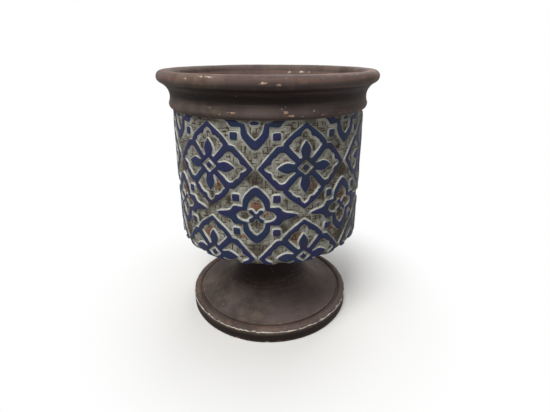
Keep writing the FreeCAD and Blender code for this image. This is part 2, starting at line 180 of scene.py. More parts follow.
# %% Sections of the stand
seat_section = rounded([
    (76.6, 133, 0.8), (76.6, 114, 6), (22, 114, 1), (22, 128, 1), (70.6, 128), (70.6, 133, 0.8)])
stem_section = (
    arc_points((126.51, 100), (50, 100), (125.1, 23.5), clockwise=False)
    + [(125.1, 10), (112.6, 10)]
    + arc_points((130.83, 100), (112.6, 10), (39, 100))[1:]
    + [(39, 114), (64, 114)]
    + arc_points((64, 100), (64, 114), (50, 100), clockwise=False)[1:-1])
foot_section = rounded(
    [(140.5, 20.5, 0.5), (140.5, 1.5, 0.8), (139, 0, 0.5), (112, 0), (112, 10), (125.5, 10),
     (125.5, 20.5, 0.4)]
    + arc_points((133.7, 17.2), (128.1, 20.5), (139.3, 20.5)))
print("points: seat", len(seat_section), "stem", len(stem_section), "foot", len(foot_section))

# %% [markdown]
# One Geometry Nodes tree shapes all the clay. It takes a flat sheet, repeats it side by side,
# and wraps the row round the axis so that its length follows the section: just how a potter
# wraps a pressed slab. It then adds what hands and kilns add: pieces laid slightly out of true,
# shallow dents, throwing rings, and chips where the sheet says that an edge is worn. The sheet's
# own flat coordinates, in millimetres, are kept as a UV map for the materials.

# %% Wrapping tree
wrapping = bpy.data.node_groups.new("wrapped_clay", "GeometryNodeTree")
wrapping.is_modifier = True
for label, kind in (
        ("Sheet", "Geometry"), ("Section", "Object"), ("Repeats", "Int"),
        ("Cell width", "Float"), ("First angle", "Float"), ("Hand shift", "Float"),
        ("Dents", "Float"), ("Throwing rings", "Float"), ("Chips", "Float"),
        ("Clay", "Material")):
    wrapping.interface.new_socket(label, in_out="INPUT", socket_type="NodeSocket" + kind)
wrapping.interface.new_socket("Piece", in_out="OUTPUT", socket_type="NodeSocketGeometry")

given = add_node(wrapping, "NodeGroupInput").outputs
print("wrapping tree takes:", ", ".join(s.name for s in given if s.name))

# %% [markdown]
# First the row of sheets, with its flat coordinates kept. How far along the row a vertex is gives
# its angle round the axis, and with it the directions outward and sideways.

# %% Wrapping tree: a row of sheets
cell_step = add_node(wrapping, "ShaderNodeCombineXYZ", X=given["Cell width"]).outputs[0]
places = add_node(wrapping, "GeometryNodeMeshLine", Count=given["Repeats"], Offset=cell_step)
copies = add_node(wrapping, "GeometryNodeInstanceOnPoints", Points=places.outputs[0],
                  Instance=given["Sheet"])
row = add_node(wrapping, "GeometryNodeRealizeInstances", Geometry=copies.outputs[0])
flat = add_node(wrapping, "GeometryNodeInputPosition").outputs[0]
flat_mm = add_node(wrapping, "ShaderNodeVectorMath", {"operation": "SCALE"}, i0=flat, Scale=1 / MM)
marked = add_node(wrapping, "GeometryNodeStoreNamedAttribute",
                  {"data_type": "FLOAT2", "domain": "CORNER"}, Geometry=row.outputs[0],
                  Name="sheet", Value=flat_mm.outputs[0])
part = add_node(wrapping, "ShaderNodeSeparateXYZ", Vector=flat).outputs
girth = add_node(wrapping, "ShaderNodeMath", {"operation": "MULTIPLY"},
                 i0=given["Cell width"], i1=given["Repeats"]).outputs[0]
share = add_node(wrapping, "ShaderNodeMath", {"operation": "DIVIDE"},
                 i0=part["X"], i1=girth).outputs[0]
angle = add_node(wrapping, "ShaderNodeMath", {"operation": "MULTIPLY_ADD"},
                 i0=share, i1=math.tau, i2=given["First angle"]).outputs[0]
sine = add_node(wrapping, "ShaderNodeMath", {"operation": "SINE"}, i0=angle).outputs[0]
cosine = add_node(wrapping, "ShaderNodeMath", {"operation": "COSINE"}, i0=angle).outputs[0]
front = add_node(wrapping, "ShaderNodeMath", {"operation": "MULTIPLY"},
                 i0=cosine, i1=-1.0).outputs[0]
outward = add_node(wrapping, "ShaderNodeCombineXYZ", X=sine, Y=front).outputs[0]
sideways = add_node(wrapping, "ShaderNodeCombineXYZ", X=cosine, Y=sine).outputs[0]

# %% [markdown]
# How far down the sheet a vertex is says where it lies on the section, and the section's tangent
# says which way the clay faces there. Its height above the sheet is laid off in that direction.

# %% Wrapping tree: down the section
run = add_node(wrapping, "ShaderNodeMath", {"operation": "MULTIPLY"},
               i0=part["Y"], i1=-1.0).outputs[0]
line = add_node(wrapping, "GeometryNodeObjectInfo", Object=given["Section"])
on_line = add_node(wrapping, "GeometryNodeSampleCurve", {"mode": "LENGTH"},
                   Curves=line.outputs["Geometry"], Length=run).outputs
spot = add_node(wrapping, "ShaderNodeSeparateXYZ", Vector=on_line["Position"]).outputs
heading = add_node(wrapping, "ShaderNodeSeparateXYZ", Vector=on_line["Tangent"]).outputs
faces_out = add_node(wrapping, "ShaderNodeMath", {"operation": "MULTIPLY"},
                     i0=heading["Z"], i1=-1.0).outputs[0]
lift = add_node(wrapping, "ShaderNodeCombineXYZ", Z=heading["X"]).outputs[0]
normal = add_node(wrapping, "ShaderNodeVectorMath", {"operation": "MULTIPLY_ADD"},
                  i0=outward, i1=faces_out, i2=lift).outputs[0]
height = add_node(wrapping, "ShaderNodeCombineXYZ", Z=spot["Z"]).outputs[0]
surface = add_node(wrapping, "ShaderNodeVectorMath", {"operation": "MULTIPLY_ADD"},
                   i0=outward, i1=spot["X"], i2=height).outputs[0]
pressed = add_node(wrapping, "ShaderNodeVectorMath", {"operation": "MULTIPLY_ADD"},
                   i0=normal, i1=part["Z"], i2=surface).outputs[0]

# %% [markdown]
# Then what hands and use add. No hand lays a slab quite true: a slow noise lets every vertex
# drift, apart from those on mating faces, which have no `give`.

# %% Wrapping tree: the drift of a hand
DRIFT_SIZE = 45 * MM
give = add_node(wrapping, "GeometryNodeInputNamedAttribute", {"data_type": "FLOAT"},
                Name="give").outputs[0]
drift = add_node(wrapping, "ShaderNodeTexNoise", Vector=pressed, Scale=1 / DRIFT_SIZE,
                 Detail=1.5).outputs[1]
drift = add_node(wrapping, "ShaderNodeVectorMath", {"operation": "SUBTRACT"},
                 i0=drift, i1=(0.5, 0.5, 0.5)).outputs[0]
drift = add_node(wrapping, "ShaderNodeVectorMath", {"operation": "SCALE"},
                 i0=drift, Scale=give).outputs[0]
drift_by = add_node(wrapping, "ShaderNodeSeparateXYZ", Vector=drift).outputs

# %% [markdown]
# A finger on turning clay leaves rings. They are a noise that changes every few millimetres down
# the piece and barely at all round it, so that each ring wanders a little.

# %% Wrapping tree: throwing rings
RING_WIDTH, RING_WANDER = 5 * MM, 6 * MM
ring_spot = add_node(wrapping, "ShaderNodeVectorMath", {"operation": "MULTIPLY_ADD"},
                     i0=outward, i1=(RING_WANDER, RING_WANDER, 0), i2=add_node(
                         wrapping, "ShaderNodeCombineXYZ", Z=part["Y"]).outputs[0]).outputs[0]
rings = add_node(wrapping, "ShaderNodeTexNoise", Vector=ring_spot, Scale=1 / RING_WIDTH,
                 Detail=2).outputs[0]
rings = add_node(wrapping, "ShaderNodeMath", {"operation": "SUBTRACT"},
                 i0=rings, i1=0.5).outputs[0]
rings = add_node(wrapping, "ShaderNodeMath", {"operation": "MULTIPLY"},
                 i0=rings, i1=give).outputs[0]
rings = add_node(wrapping, "ShaderNodeMath", {"operation": "MULTIPLY"},
                 i0=rings, i1=given["Throwing rings"]).outputs[0]

# %% [markdown]
# Chips are the spots where a finer noise runs high, and only on an edge that is worn. How deep
# each vertex is chipped is kept for the material, which shows bare clay there.

# %% Wrapping tree: chips
FLAW_SIZE = 9 * MM
worn = add_node(wrapping, "GeometryNodeInputNamedAttribute", {"data_type": "FLOAT"},
                Name="worn").outputs[0]
flaws = add_node(wrapping, "ShaderNodeTexNoise", Vector=pressed, Scale=1 / FLAW_SIZE,
                 Detail=3).outputs[0]
flaws = add_node(wrapping, "ShaderNodeMapRange", SMOOTH,
                 Value=flaws, From_Min=0.56, From_Max=0.66).outputs[0]
chip = add_node(wrapping, "ShaderNodeMath", {"operation": "MULTIPLY"},
                i0=flaws, i1=worn).outputs[0]
chip_depth = add_node(wrapping, "ShaderNodeMath", {"operation": "MULTIPLY"},
                      i0=chip, i1=given["Chips"]).outputs[0]

# %% [markdown]
# Dents, rings and chips move the clay in or out, and the hand's shift moves it along the surface.

# %% Wrapping tree: all of it together
dent = add_node(wrapping, "ShaderNodeMath", {"operation": "MULTIPLY_ADD"},
                i0=drift_by["Z"], i1=given["Dents"], i2=rings).outputs[0]
dent = add_node(wrapping, "ShaderNodeMath", {"operation": "SUBTRACT"},
                i0=dent, i1=chip_depth).outputs[0]
shaped = add_node(wrapping, "ShaderNodeVectorMath", {"operation": "MULTIPLY_ADD"},
                  i0=normal, i1=dent, i2=pressed).outputs[0]
side_shift = add_node(wrapping, "ShaderNodeMath", {"operation": "MULTIPLY"},
                      i0=drift_by["X"], i1=given["Hand shift"]).outputs[0]
shaped = add_node(wrapping, "ShaderNodeVectorMath", {"operation": "MULTIPLY_ADD"},
                  i0=sideways, i1=side_shift, i2=shaped).outputs[0]
rise_shift = add_node(wrapping, "ShaderNodeMath", {"operation": "MULTIPLY"},
                      i0=drift_by["Y"], i1=given["Hand shift"]).outputs[0]
shaped = add_node(wrapping, "ShaderNodeVectorMath", {"operation": "ADD"}, i0=shaped,
                  i1=add_node(wrapping, "ShaderNodeCombineXYZ", Z=rise_shift).outputs[0])

# %% [markdown]
# Last, the vertices are moved, the seams between the sheets are merged shut, and the piece gets
# its clay.

# %% Wrapping tree: the finished piece
SEAM = 0.005 * MM
chipped = add_node(wrapping, "GeometryNodeStoreNamedAttribute",
                   {"data_type": "FLOAT", "domain": "POINT"}, Geometry=marked.outputs[0],
                   Name="chip", Value=chip)
wrapped = add_node(wrapping, "GeometryNodeSetPosition", Geometry=chipped.outputs[0],
                   Position=shaped.outputs[0])
joined = add_node(wrapping, "GeometryNodeMergeByDistance", Geometry=wrapped.outputs[0],
                  Distance=SEAM)
solid = add_node(wrapping, "GeometryNodeRealizeInstances", Geometry=joined.outputs[0])
faced = add_node(wrapping, "GeometryNodeSetMaterial", Geometry=solid.outputs[0],
                 Material=given["Clay"])
add_node(wrapping, "NodeGroupOutput", Piece=faced.outputs[0])
print("wrapping tree:", len(wrapping.nodes), "nodes")

# %% [markdown]
# The tree is used through one function. It sets the inputs by their identifiers, lets Blender
# evaluate the piece, and keeps the plain mesh, so that nothing live is left on it.

# %% Wrap a sheet
def wrap(name, sheet, section, body, clay, replaced, repeats=1, width=1.0, angle=0.0,
         shift=0.0, dents=0.0, rings=0.0, chips=0.0, crease=40):
    """Wraps a flat sheet mesh round the axis along a section, as one plain mesh piece."""
    curve = bpy.data.curves.new(name + "_section", "CURVE")
    curve.dimensions = "3D"
    spline = curve.splines.new("POLY")
    spline.points.add(len(section) - 1)
    for point, (r, z) in zip(spline.points, section):
        point.co = (r * MM, 0, z * MM, 1)
    spline.use_cyclic_u = True
    guide = bpy.data.objects.new(name + "_section", curve)
    piece = bpy.data.objects.new(name, sheet)
    for item in (guide, piece):
        scene.collection.objects.link(item)
    modifier = piece.modifiers.new("Wrap", "NODES")
    modifier.node_group = wrapping
    sockets = {item.name: item.identifier for item in wrapping.interface.items_tree
               if item.in_out == "INPUT"}
    for label, value in (
            ("Section", guide), ("Repeats", repeats), ("Cell width", width),
            ("First angle", angle), ("Hand shift", shift), ("Dents", dents),
            ("Throwing rings", rings), ("Chips", chips), ("Clay", clay)):
        modifier[sockets[label]] = value
    graph = bpy.context.evaluated_depsgraph_get()
    mesh = bpy.data.meshes.new_from_object(
        piece.evaluated_get(graph), preserve_all_data_layers=True, depsgraph=graph)
    piece.modifiers.clear()
    piece.data = mesh
    mesh.name = name
    bpy.data.objects.remove(guide)
    bpy.data.curves.remove(curve)
    bpy.data.meshes.remove(sheet)
    mesh.shade_smooth()
    mesh.set_sharp_from_angle(angle=math.radians(crease))
    mesh.calc_loop_triangles()
    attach(piece, body)
    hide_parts(replaced)
    print(f"{name}: {len(mesh.loop_triangles)} triangles")
    return piece


def lengths_along(section):
    """Distance along a closed outline at each of its points, and once more at its start."""
    ring = np.array(section + section[:1])
    return np.concatenate([[0], np.cumsum(np.linalg.norm(np.diff(ring, axis=0), axis=1))])


# %% [markdown]
# Turned pieces start as a plain sheet: one row of vertices for each point of the section. Each
# row carries what later steps need to know: `give`, how far a hand may have moved it, `turn`,
# how sharply the section bends there (outward above zero, hollow below), and `worn`, which is
# high only where it bends outward sharply and rubs against things. Two more say how the wash was
# left, from -1, thick or darkened as painted shade, to 1, wiped off, and where handling has bared
# it or a pale line paints a highlight. Both are given as a few marks on the section that fade
# with distance. `scuff` is the same round the piece.

# %% Plain sheet for a turned piece
def bending(section, reach=2.5):
    """How much a closed clockwise outline bends within a few millimetres of each point."""
    lengths = lengths_along(section)
    ring = np.array(section + section[:1])
    r = np.interp((lengths[:-1, None] + [[-reach, 0, reach]]) % lengths[-1], lengths, ring[:, 0])
    z = np.interp((lengths[:-1, None] + [[-reach, 0, reach]]) % lengths[-1], lengths, ring[:, 1])
    into = np.stack([r[:, 1] - r[:, 0], z[:, 1] - z[:, 0]])
    out = np.stack([r[:, 2] - r[:, 1], z[:, 2] - z[:, 1]])
    cross = into[0] * out[1] - into[1] * out[0]
    dot = (into * out).sum(0)
    return -np.degrees(np.arctan2(cross, dot)) / 90


def store(mesh, name, values):
    """Keeps one number for each vertex."""
    mesh.attributes.new(name, "FLOAT", "POINT").data.foreach_set(
        "value", np.asarray(values, np.float32))


def fading(places, mark, reach):
    """1 at a mark, and less with the distance from it."""
    return np.exp(-sum((p - m) ** 2 for p, m in zip(places, mark)) / reach ** 2)


def turned_sheet(name, section, around, free, marks, scuffs):
    """A flat sheet for a section; free(r, z) says where the surface is open to the hand."""
    lengths = lengths_along(section)
    girth = math.tau * max(r for r, z in section)
    columns = np.linspace(0, girth, around + 1)
    down, across = np.meshgrid(lengths, columns, indexing="ij")
    spots = np.stack([across * MM, -down * MM, 0 * down], -1).reshape(-1, 3)
    wide = around + 1
    faces = [(i * wide + j, (i + 1) * wide + j, (i + 1) * wide + j + 1, i * wide + j + 1)
             for i in range(len(lengths) - 1) for j in range(around)]
    sheet = bpy.data.meshes.new(name)
    sheet.from_pydata(spots.tolist(), [], faces)
    turn = bending(section)
    turn = np.append(turn, turn[0])
    ring = section + section[:1]
    open_to_hand = np.array([float(free(r, z)) for r, z in ring])
    store(sheet, "give", np.repeat(open_to_hand, wide))
    store(sheet, "turn", np.repeat(turn, wide))
    store(sheet, "worn", np.repeat(np.clip(turn * 1.6 - 0.15, 0, 1) * open_to_hand, wide))
    r, z = np.array(ring).T
    wash_wiped_or_shaded, rubbed_or_highlit, scuff = np.zeros(len(r)), np.zeros(len(r)), np.zeros(down.shape)
    # A mark's wash below zero darkens the clay as thick wash, and at some marks as painted shade;
    # its wear also paints highlight lines on the foot.
    for mark_r, mark_z, reach, wash, wear in marks:
        near = fading((r, z), (mark_r, mark_z), reach)
        wash_wiped_or_shaded += wash * near
        rubbed_or_highlit = np.maximum(rubbed_or_highlit, wear * near)
    around_at = (across / girth - 0.5) * 360
    for degrees, mark_r, mark_z, long, high in scuffs:
        offset = np.radians(around_at - degrees) * mark_r / long
        scuff = np.maximum(scuff, np.exp(-offset ** 2) * fading((r, z), (mark_r, mark_z),
                                                                high)[:, None])
    store(sheet, "wash_wiped_or_shaded", np.repeat(np.clip(wash_wiped_or_shaded, -1, 1), wide))
    store(sheet, "rubbed_or_highlit", np.repeat(rubbed_or_highlit, wide))
    store(sheet, "scuff", scuff.ravel())
    return sheet, girth * MM


# %% [markdown]
# The tile pattern is a traditional one: eight-petalled rosettes in lobed frames alternate with
# four-pointed stars, in a lattice of seven round. It is drawn flat, in millimetres from each
# motif's own centre, one quarter at a time. The real tile was carved by hand into the mould, so
# corners are kept where the carver turned the tool, and the runs between them are smoothed.

# %% Mirror helpers
def mirrored(quarter):
    """A closed outline from one quarter, given from its top to its right-hand end."""
    below = [(x, -y) for x, y in reversed(quarter)]
    right = quarter + below[1:]
    left = [(-x, y) for x, y in reversed(right)]
    return right + left[1:-1]


def half_mirrored(side):
    """A closed outline from its right-hand side, given from top to bottom."""
    return side + [(-x, y) for x, y in reversed(side) if x > 0]


def turned_over(outline):
    """The outline upside down."""
    return [(x, -y) for x, y in outline]


def on_its_side(outline):
    """The outline turned a quarter, its top to the right."""
    return [(y, -x) for x, y in outline]


# %% [markdown]
# The star is a band with four points round a field that holds a small cross, and four squares
# stand between its arms. On the top row the rim covers half of it, and a sliver takes the place
# of the cross.

# %% Star
star_band = mirrored([
    (0, 41), (5, 38.5), (10, 33.5), (14, 29), (17.5, 23), (18.2, 18), (18.2, 15), (18.5, 12.5),
    (24, 13), (30, 13.5), (33, 11), (35, 7.5), (40, 5), (48, 3.5), (54, 1.6), (57, 0)])
star_field = mirrored([
    (0, 29), (5, 25), (9, 20.5), (11, 15), (12, 11), (12.3, 8.8), (17, 8), (22, 6.4),
    (26, 3.2), (27.5, 0)])
star_cross = mirrored([
    (0, 3), (2.6, 5.2), (4.6, 8.8), (8, 9.4), (10, 7.6), (9.6, 4.6), (6, 2.8), (3.4, 0)])
corner_square = mirrored([(0, 4.9), (4.7, 4.7), (4.9, 0)])
sliver = [(x, y - 8) for x, y in mirrored([(0, 2.1), (3.6, 1.7), (6.4, 0)])]
SQUARES = [[(x + 27.5 * i, y + 24.5 * j) for x, y in corner_square]
           for i in (-1, 1) for j in (-1, 1)]
STAR = [star_band, star_field, star_cross] + SQUARES
TOP_STAR = [star_band, star_field, sliver] + SQUARES

# %% [markdown]
# The rosette is a lobed frame with four scalloped fields, and a leaf reaches into each of them.

# %% Rosette
rosette_frame = mirrored([
    (0, 57.5), (8, 51.5), (20, 42.5), (27, 35.5), (30.5, 31), (29.6, 28.8), (33, 28.7),
    (38, 28), (41, 25), (50, 15), (57, 7), (63, 0)])
upper_field = half_mirrored([
    (0, 50), (2.5, 48.5), (5, 46.5), (6.5, 43.5), (7.3, 40.8), (9, 40.2), (13, 39.5),
    (14.3, 38), (15.5, 37.4), (18.2, 35.6), (19, 33.2), (20.5, 31.5), (23.5, 29.4),
    (22.5, 27.5), (15.5, 19.4), (8.4, 11.8), (5.4, 12.2), (5.8, 16), (7.2, 22), (5.6, 27.5),
    (2.6, 32), (0, 35.5)])
side_field = on_its_side(half_mirrored([
    (0, 55), (2.6, 52.4), (4.6, 49.5), (5.6, 46.4), (7.6, 45.2), (11, 44.6), (13.6, 42.8),
    (15, 39.6), (17.4, 37.4), (20.2, 34.6), (21, 31), (20.4, 28.6), (12.4, 20.4), (6.6, 13.6),
    (5, 13.4), (5.2, 17), (6.9, 24), (5.6, 29.5), (3, 34), (0, 38)]))
hub_ring = mirrored([(0, 10.5), (12, 0)])
hub_square = mirrored([(0, 5.2), (5.6, 0)])
ROSETTE = [rosette_frame, upper_field, turned_over(upper_field), side_field,
           [(-x, y) for x, y in side_field], hub_ring, hub_square]
print("outlines: star", len(STAR), "rosette", len(ROSETTE))

# %% [markdown]
# A carver's line is smooth between its corners. A cubic curve runs through the points, and each
# corner is eased by under a millimetre, as the pressed clay was when it came off the mould.

# %% Smoothing
def carved(outline, step=2.2, corner=38, easing=0.9):
    """Smooths an outline between its corners, then eases the corners by under a millimetre."""
    spots = [Vector(p) for p in outline]
    count = len(spots)
    tangents = []
    for i, here in enumerate(spots):
        into, out = here - spots[i - 1], spots[(i + 1) % count] - here
        sharp = into.angle(out) > math.radians(corner)
        tangents.append(None if sharp else (into.normalized() + out.normalized()).normalized())
    fine = []
    for i, here in enumerate(spots):
        there = spots[(i + 1) % count]
        chord = there - here
        leave = (tangents[i] or chord.normalized()) * chord.length
        arrive = (tangents[(i + 1) % count] or chord.normalized()) * chord.length
        pieces = max(1, round(chord.length / step))
        for k in range(pieces):
            t = k / pieces
            spot = (here * (2 * t ** 3 - 3 * t ** 2 + 1) + leave * (t ** 3 - 2 * t ** 2 + t)
                    + there * (3 * t ** 2 - 2 * t ** 3) + arrive * (t ** 3 - t ** 2))
            if k == 0 and tangents[i] is None:
                back, ahead = here - spots[i - 1], there - here
                fine.append(spot - back.normalized() * min(easing, back.length / 3))
                fine.append(spot + ahead.normalized() * min(easing, ahead.length / 3))
            else:
                fine.append(spot)
    return [tuple(p) for p in fine]


# %% [markdown]
# Stars stand on the middle line of each cell and rosettes half a cell aside, at heights above the
# floor that the photograph shows. All outlines of one cell then lie in the flat sheet.

# %% Where the motifs stand
ROUNDS = 7
CELL = 131.5
HALF = CELL / 2
STAR_HEIGHTS = [353, 223, 93]
ROSETTE_HEIGHTS = [288, 158]
motifs = [(TOP_STAR if z > WALL_TOP else STAR, 0, z) for z in STAR_HEIGHTS]
motifs += [(ROSETTE, HALF, z) for z in ROSETTE_HEIGHTS]
cuts = [np.array([(x + aside, WALL_TOP - (y + z)) for x, y in carved(outline)])
        for motif, aside, z in motifs for outline in motif]
print("cuts:", len(cuts), "points:", sum(len(c) for c in cuts))

# %% [markdown]
# The pattern becomes a mesh by triangulating its outlines, so that every carved edge is a row of
# real mesh edges. Half a cell is enough, because the other half is its mirror image. Beside each
# outline run two more rows: one on the band where its edge starts to round, and one at the foot
# of the bevel. The height of every vertex then follows from how far it is from the nearest edge.

# %% Distances to the carved edges
cut_starts = np.concatenate(cuts)
cut_ends = np.concatenate([np.roll(c, -1, axis=0) for c in cuts])
AT_ONCE = 1000  # spots measured in one go, which keeps the arrays small


def edge_distance(spots):
    """Distance to the nearest carved edge, above zero on a painted band, below it in a field."""
    spots = np.asarray(spots, float)
    result = np.empty(len(spots))
    runs = cut_ends - cut_starts
    squares = (runs ** 2).sum(1)
    for first in range(0, len(spots), AT_ONCE):
        group = spots[first:first + AT_ONCE, None, :]
        t = np.clip(((group - cut_starts) * runs).sum(2) / squares, 0, 1)
        gap = group - (cut_starts + t[..., None] * runs)
        nearest = np.sqrt((gap ** 2).sum(2).min(1))
        y = group[..., 1]
        crosses = (cut_starts[:, 1] > y) != (cut_ends[:, 1] > y)
        with np.errstate(divide="ignore", invalid="ignore"):
            x = cut_starts[:, 0] + (y - cut_starts[:, 1]) * runs[:, 0] / runs[:, 1]
        inside = (crosses & (x > group[..., 0])).sum(1) % 2 == 1
        result[first:first + AT_ONCE] = np.where(inside, nearest, -nearest)
    return result


# %% [markdown]
# The outlines come first, each as a closed chain of points. The two rows beside it are kept only
# where they are clear of every other edge, so they may be broken into several open chains.

# %% Outlines and the rows beside them
EDGE_ROUND, BEVEL, FIELD_DEPTH = 1.0, 1.7, 2.5
RELIEF_END, RELIEF_FADE = 209, 1.6
BEYOND = 6      # outlines farther than this past the ends of the relief are left out
CLOSEST = 0.7   # vertices of one row stand no closer than this
PROBE = 0.4     # how far from an edge its painted side is looked for
SLACK = 0.06


def carved_chains():
    """Chains of points on and beside the carved edges, each with whether it is closed."""
    chains = []
    for cut in cuts:
        if cut[:, 1].min() > RELIEF_END + BEYOND or cut[:, 1].max() < -BEYOND:
            continue
        chains.append(([tuple(p) for p in cut], True))
        runs = np.roll(cut, -1, axis=0) - np.roll(cut, 1, axis=0)
        sides = np.stack([runs[:, 1], -runs[:, 0]], 1) / np.linalg.norm(runs, axis=1)[:, None]
        for sign in (1, -1):
            band_side = edge_distance(cut + sides * sign * PROBE).mean() > 0
            reach = EDGE_ROUND if band_side else BEVEL
            moved = cut + sides * sign * reach
            clear = np.abs(edge_distance(moved)) > reach - SLACK
            kept = []
            for here, free in zip(moved, clear):
                if free and (not kept or math.dist(kept[-1], here) > CLOSEST):
                    kept.append(tuple(here))
                elif not free:
                    chains.append((kept, False))
                    kept = []
            chains.append((kept, False))
    return chains


# %% [markdown]
# Between the edges, free vertices stand in staggered rows, so that the triangles come out nearly
# equal-sided. Below the relief the wall is plain, and a few wide rows are enough.

# %% Vertices of the flat parts
PITCH = 2.7
PLAIN_PITCH = 12
TRIANGLE_RISE = 0.87
BAND_CLEARANCE, FIELD_CLEARANCE, END_CLEARANCE = 0.9, 1.1, 0.8
wall_lengths = lengths_along(wall_section)
across_tile = np.arange(0, HALF + 1, HALF / round(HALF / PITCH))


def free_spots():
    """Vertices in rows between the carved edges."""
    spots = []
    rows = round(RELIEF_END / (PITCH * TRIANGLE_RISE))
    for row in range(rows + 1):
        y = RELIEF_END * row / rows
        inner = across_tile[1:-1] if row % 2 == 0 else across_tile[:-1] + PITCH / 2
        grid = np.stack([inner, np.full(len(inner), y)], 1)
        gap = edge_distance(grid)
        clear = (gap > EDGE_ROUND + BAND_CLEARANCE) | (gap < -(BEVEL + FIELD_CLEARANCE))
        spots += [tuple(p) for p in grid[clear]
                  if END_CLEARANCE < p[1] < RELIEF_END - END_CLEARANCE]
        if row % 2 == 0:
            spots += [(x, y) for x in (0, HALF) if abs(edge_distance([(x, y)])[0]) > CLOSEST]
    return spots


def plain_chains():
    """Chains across the sheet at its ends and where it is plain, and down its two sides."""
    rows = [0, RELIEF_FADE, RELIEF_END - RELIEF_FADE, RELIEF_END]
    rows += [b for b in wall_lengths if b > RELIEF_END - 1]
    rows = sorted(set(round(float(b), 4) for b in rows))
    between = []
    for here, there in zip(rows, rows[1:]):
        if here >= RELIEF_END:
            count = max(1, round((there - here) / PLAIN_PITCH))
            between += [here + (there - here) * i / count for i in range(1, count)]
    chains = []
    for b in sorted(rows + between):
        columns = np.append(across_tile[:-2], HALF) if b < RELIEF_END else np.linspace(0, HALF, 12)
        chains.append(([(float(x), b) for x in np.round(columns, 6)], False))
    total = float(wall_lengths[-1])
    return chains + [([(x, -1), (x, total + 1)], False) for x in (0, HALF)]


# %% [markdown]
# A constrained Delaunay triangulation joins them all, and keeps every chain as mesh edges. What
# falls outside the half cell is dropped, and the vertices on its sides are set exactly on them,
# so that the mirrored halves meet without a gap.

# %% Half a cell of the tile
def tile_half():
    """Vertices and triangles of half a cell, in millimetres: across, and down the section."""
    spots, links = [], []

    def chain(points, closed):
        first = len(spots)
        spots.extend(points)
        links.extend((first + i, first + i + 1) for i in range(len(points) - 1))
        if closed:
            links.append((first + len(points) - 1, first))

    for points, closed in carved_chains():
        chain(points, closed)
    spots.extend(free_spots())
    for points, closed in plain_chains():
        chain(points, closed)
    verts, _, faces, *_ = delaunay_2d_cdt(
        [Vector(p) for p in spots], links, [], 0, 0.02, False)
    verts = np.array([tuple(v) for v in verts])
    for column, side in ((0, 0), (0, HALF), (1, 0)):
        verts[np.abs(verts[:, column] - side) < 0.03, column] = side
    faces = np.array(faces)
    x, y = verts[faces].mean(1).T
    faces = faces[(x > 0) & (x < HALF) & (y > 0) & (y < float(wall_lengths[-1]))]
    used, faces = np.unique(faces, return_inverse=True)
    return verts[used], faces.reshape(-1, 3)


half_spots, half_faces = tile_half()
print("half a cell:", len(half_spots), "vertices,", len(half_faces), "triangles")

# %% [markdown]
# Fire and water left stains in some of the fields: rust in the star's upper petal and beside the
# rosettes, umber below it and above each star. They are placed as spots, across and up from the
# floor, with a reach, and the material breaks them up.

# %% Stains
RUST_STAINS = [(0, 236, 9), (13, 226, 5), (-31, 217, 7), (-25, 345, 8), (26, 345, 5),
               (46, 297, 9), (-57, 262, 9), (-46, 148, 8), (58, 187, 10), (-20, 194, 7)]
UMBER_STAINS = [(0, 274, 11), (0, 213, 9), (-16, 222, 6), (30, 262, 9), (-38, 248, 8),
                (0, 170, 14), (36, 204, 8), (-60, 320, 8), (60, 312, 7), (0, 327, 9)]


def stains(spots, places):
    """How deep a stain is at each spot of the sheet."""
    x, z = spots[:, 0], WALL_TOP - spots[:, 1]
    return np.max([fading((x, z), place[:2], place[2]) for place in places], axis=0)


# %% [markdown]
# The band's edge is rounded off by the sponge, the bevel runs straight down from it, and the
# field swells a little towards its middle, as clay does when it is pressed.

# %% Height of the clay
ROUNDED_OFF = 0.45
PILLOW_HEIGHT, PILLOW_REACH = 0.35, 5


def ramp(values, low, high):
    """Smooth step from 0 at low to 1 at high."""
    t = np.clip((np.asarray(values, float) - low) / (high - low), 0, 1)
    return t * t * (3 - 2 * t)


def relief_depth(gap):
    """Height of the clay at a signed distance from a carved edge."""
    band = -ROUNDED_OFF * np.clip(1 - gap / EDGE_ROUND, 0, 1) ** 2
    field = -ROUNDED_OFF - (FIELD_DEPTH - ROUNDED_OFF) * np.clip(-gap / BEVEL, 0, 1)
    pillow = PILLOW_HEIGHT * ramp(-gap, BEVEL, BEVEL + PILLOW_REACH)
    return np.where(gap >= 0, band, field + pillow)


# %% [markdown]
# The whole cell is the half and its mirror image. Its vertices carry what the wrapping and the
# paint need: the signed distance from the carved edge, where there is relief, and the stains.

# %% Whole cell
FREE_RUN = 8


def tile_sheet():
    """The whole cell as a mesh, in metres, hanging down from y = 0."""
    count = len(half_spots)
    on_axis = half_spots[:, 0] == 0
    twin = np.where(on_axis, np.arange(count), np.cumsum(~on_axis) - 1 + count)
    spots = np.concatenate([half_spots, half_spots[~on_axis] * (-1, 1)])
    faces = np.concatenate([half_faces, twin[half_faces][:, ::-1]])
    gap = edge_distance(np.abs(spots))
    down = spots[:, 1]
    relief = ramp(down, 0, RELIEF_FADE) * ramp(down, RELIEF_END, RELIEF_END - RELIEF_FADE)
    depth = relief_depth(gap) * relief
    sheet = bpy.data.meshes.new("pot_wall_sheet")
    corners = np.stack([spots[:, 0] * MM, -down * MM, depth * MM], 1)
    sheet.from_pydata(corners.tolist(), [], faces[:, ::-1].tolist())
    store(sheet, "give",
          ramp(down, 0, FREE_RUN) * ramp(down, RELIEF_END + FREE_RUN, RELIEF_END))
    store(sheet, "worn", np.zeros(len(spots)))
    store(sheet, "edge", gap)
    store(sheet, "relief", relief)
    store(sheet, "rust", stains(spots, RUST_STAINS))
    store(sheet, "umber", stains(spots, UMBER_STAINS))
    return sheet


cell_sheet = tile_sheet()
print("cell:", len(cell_sheet.vertices), "vertices,", len(cell_sheet.polygons), "faces")
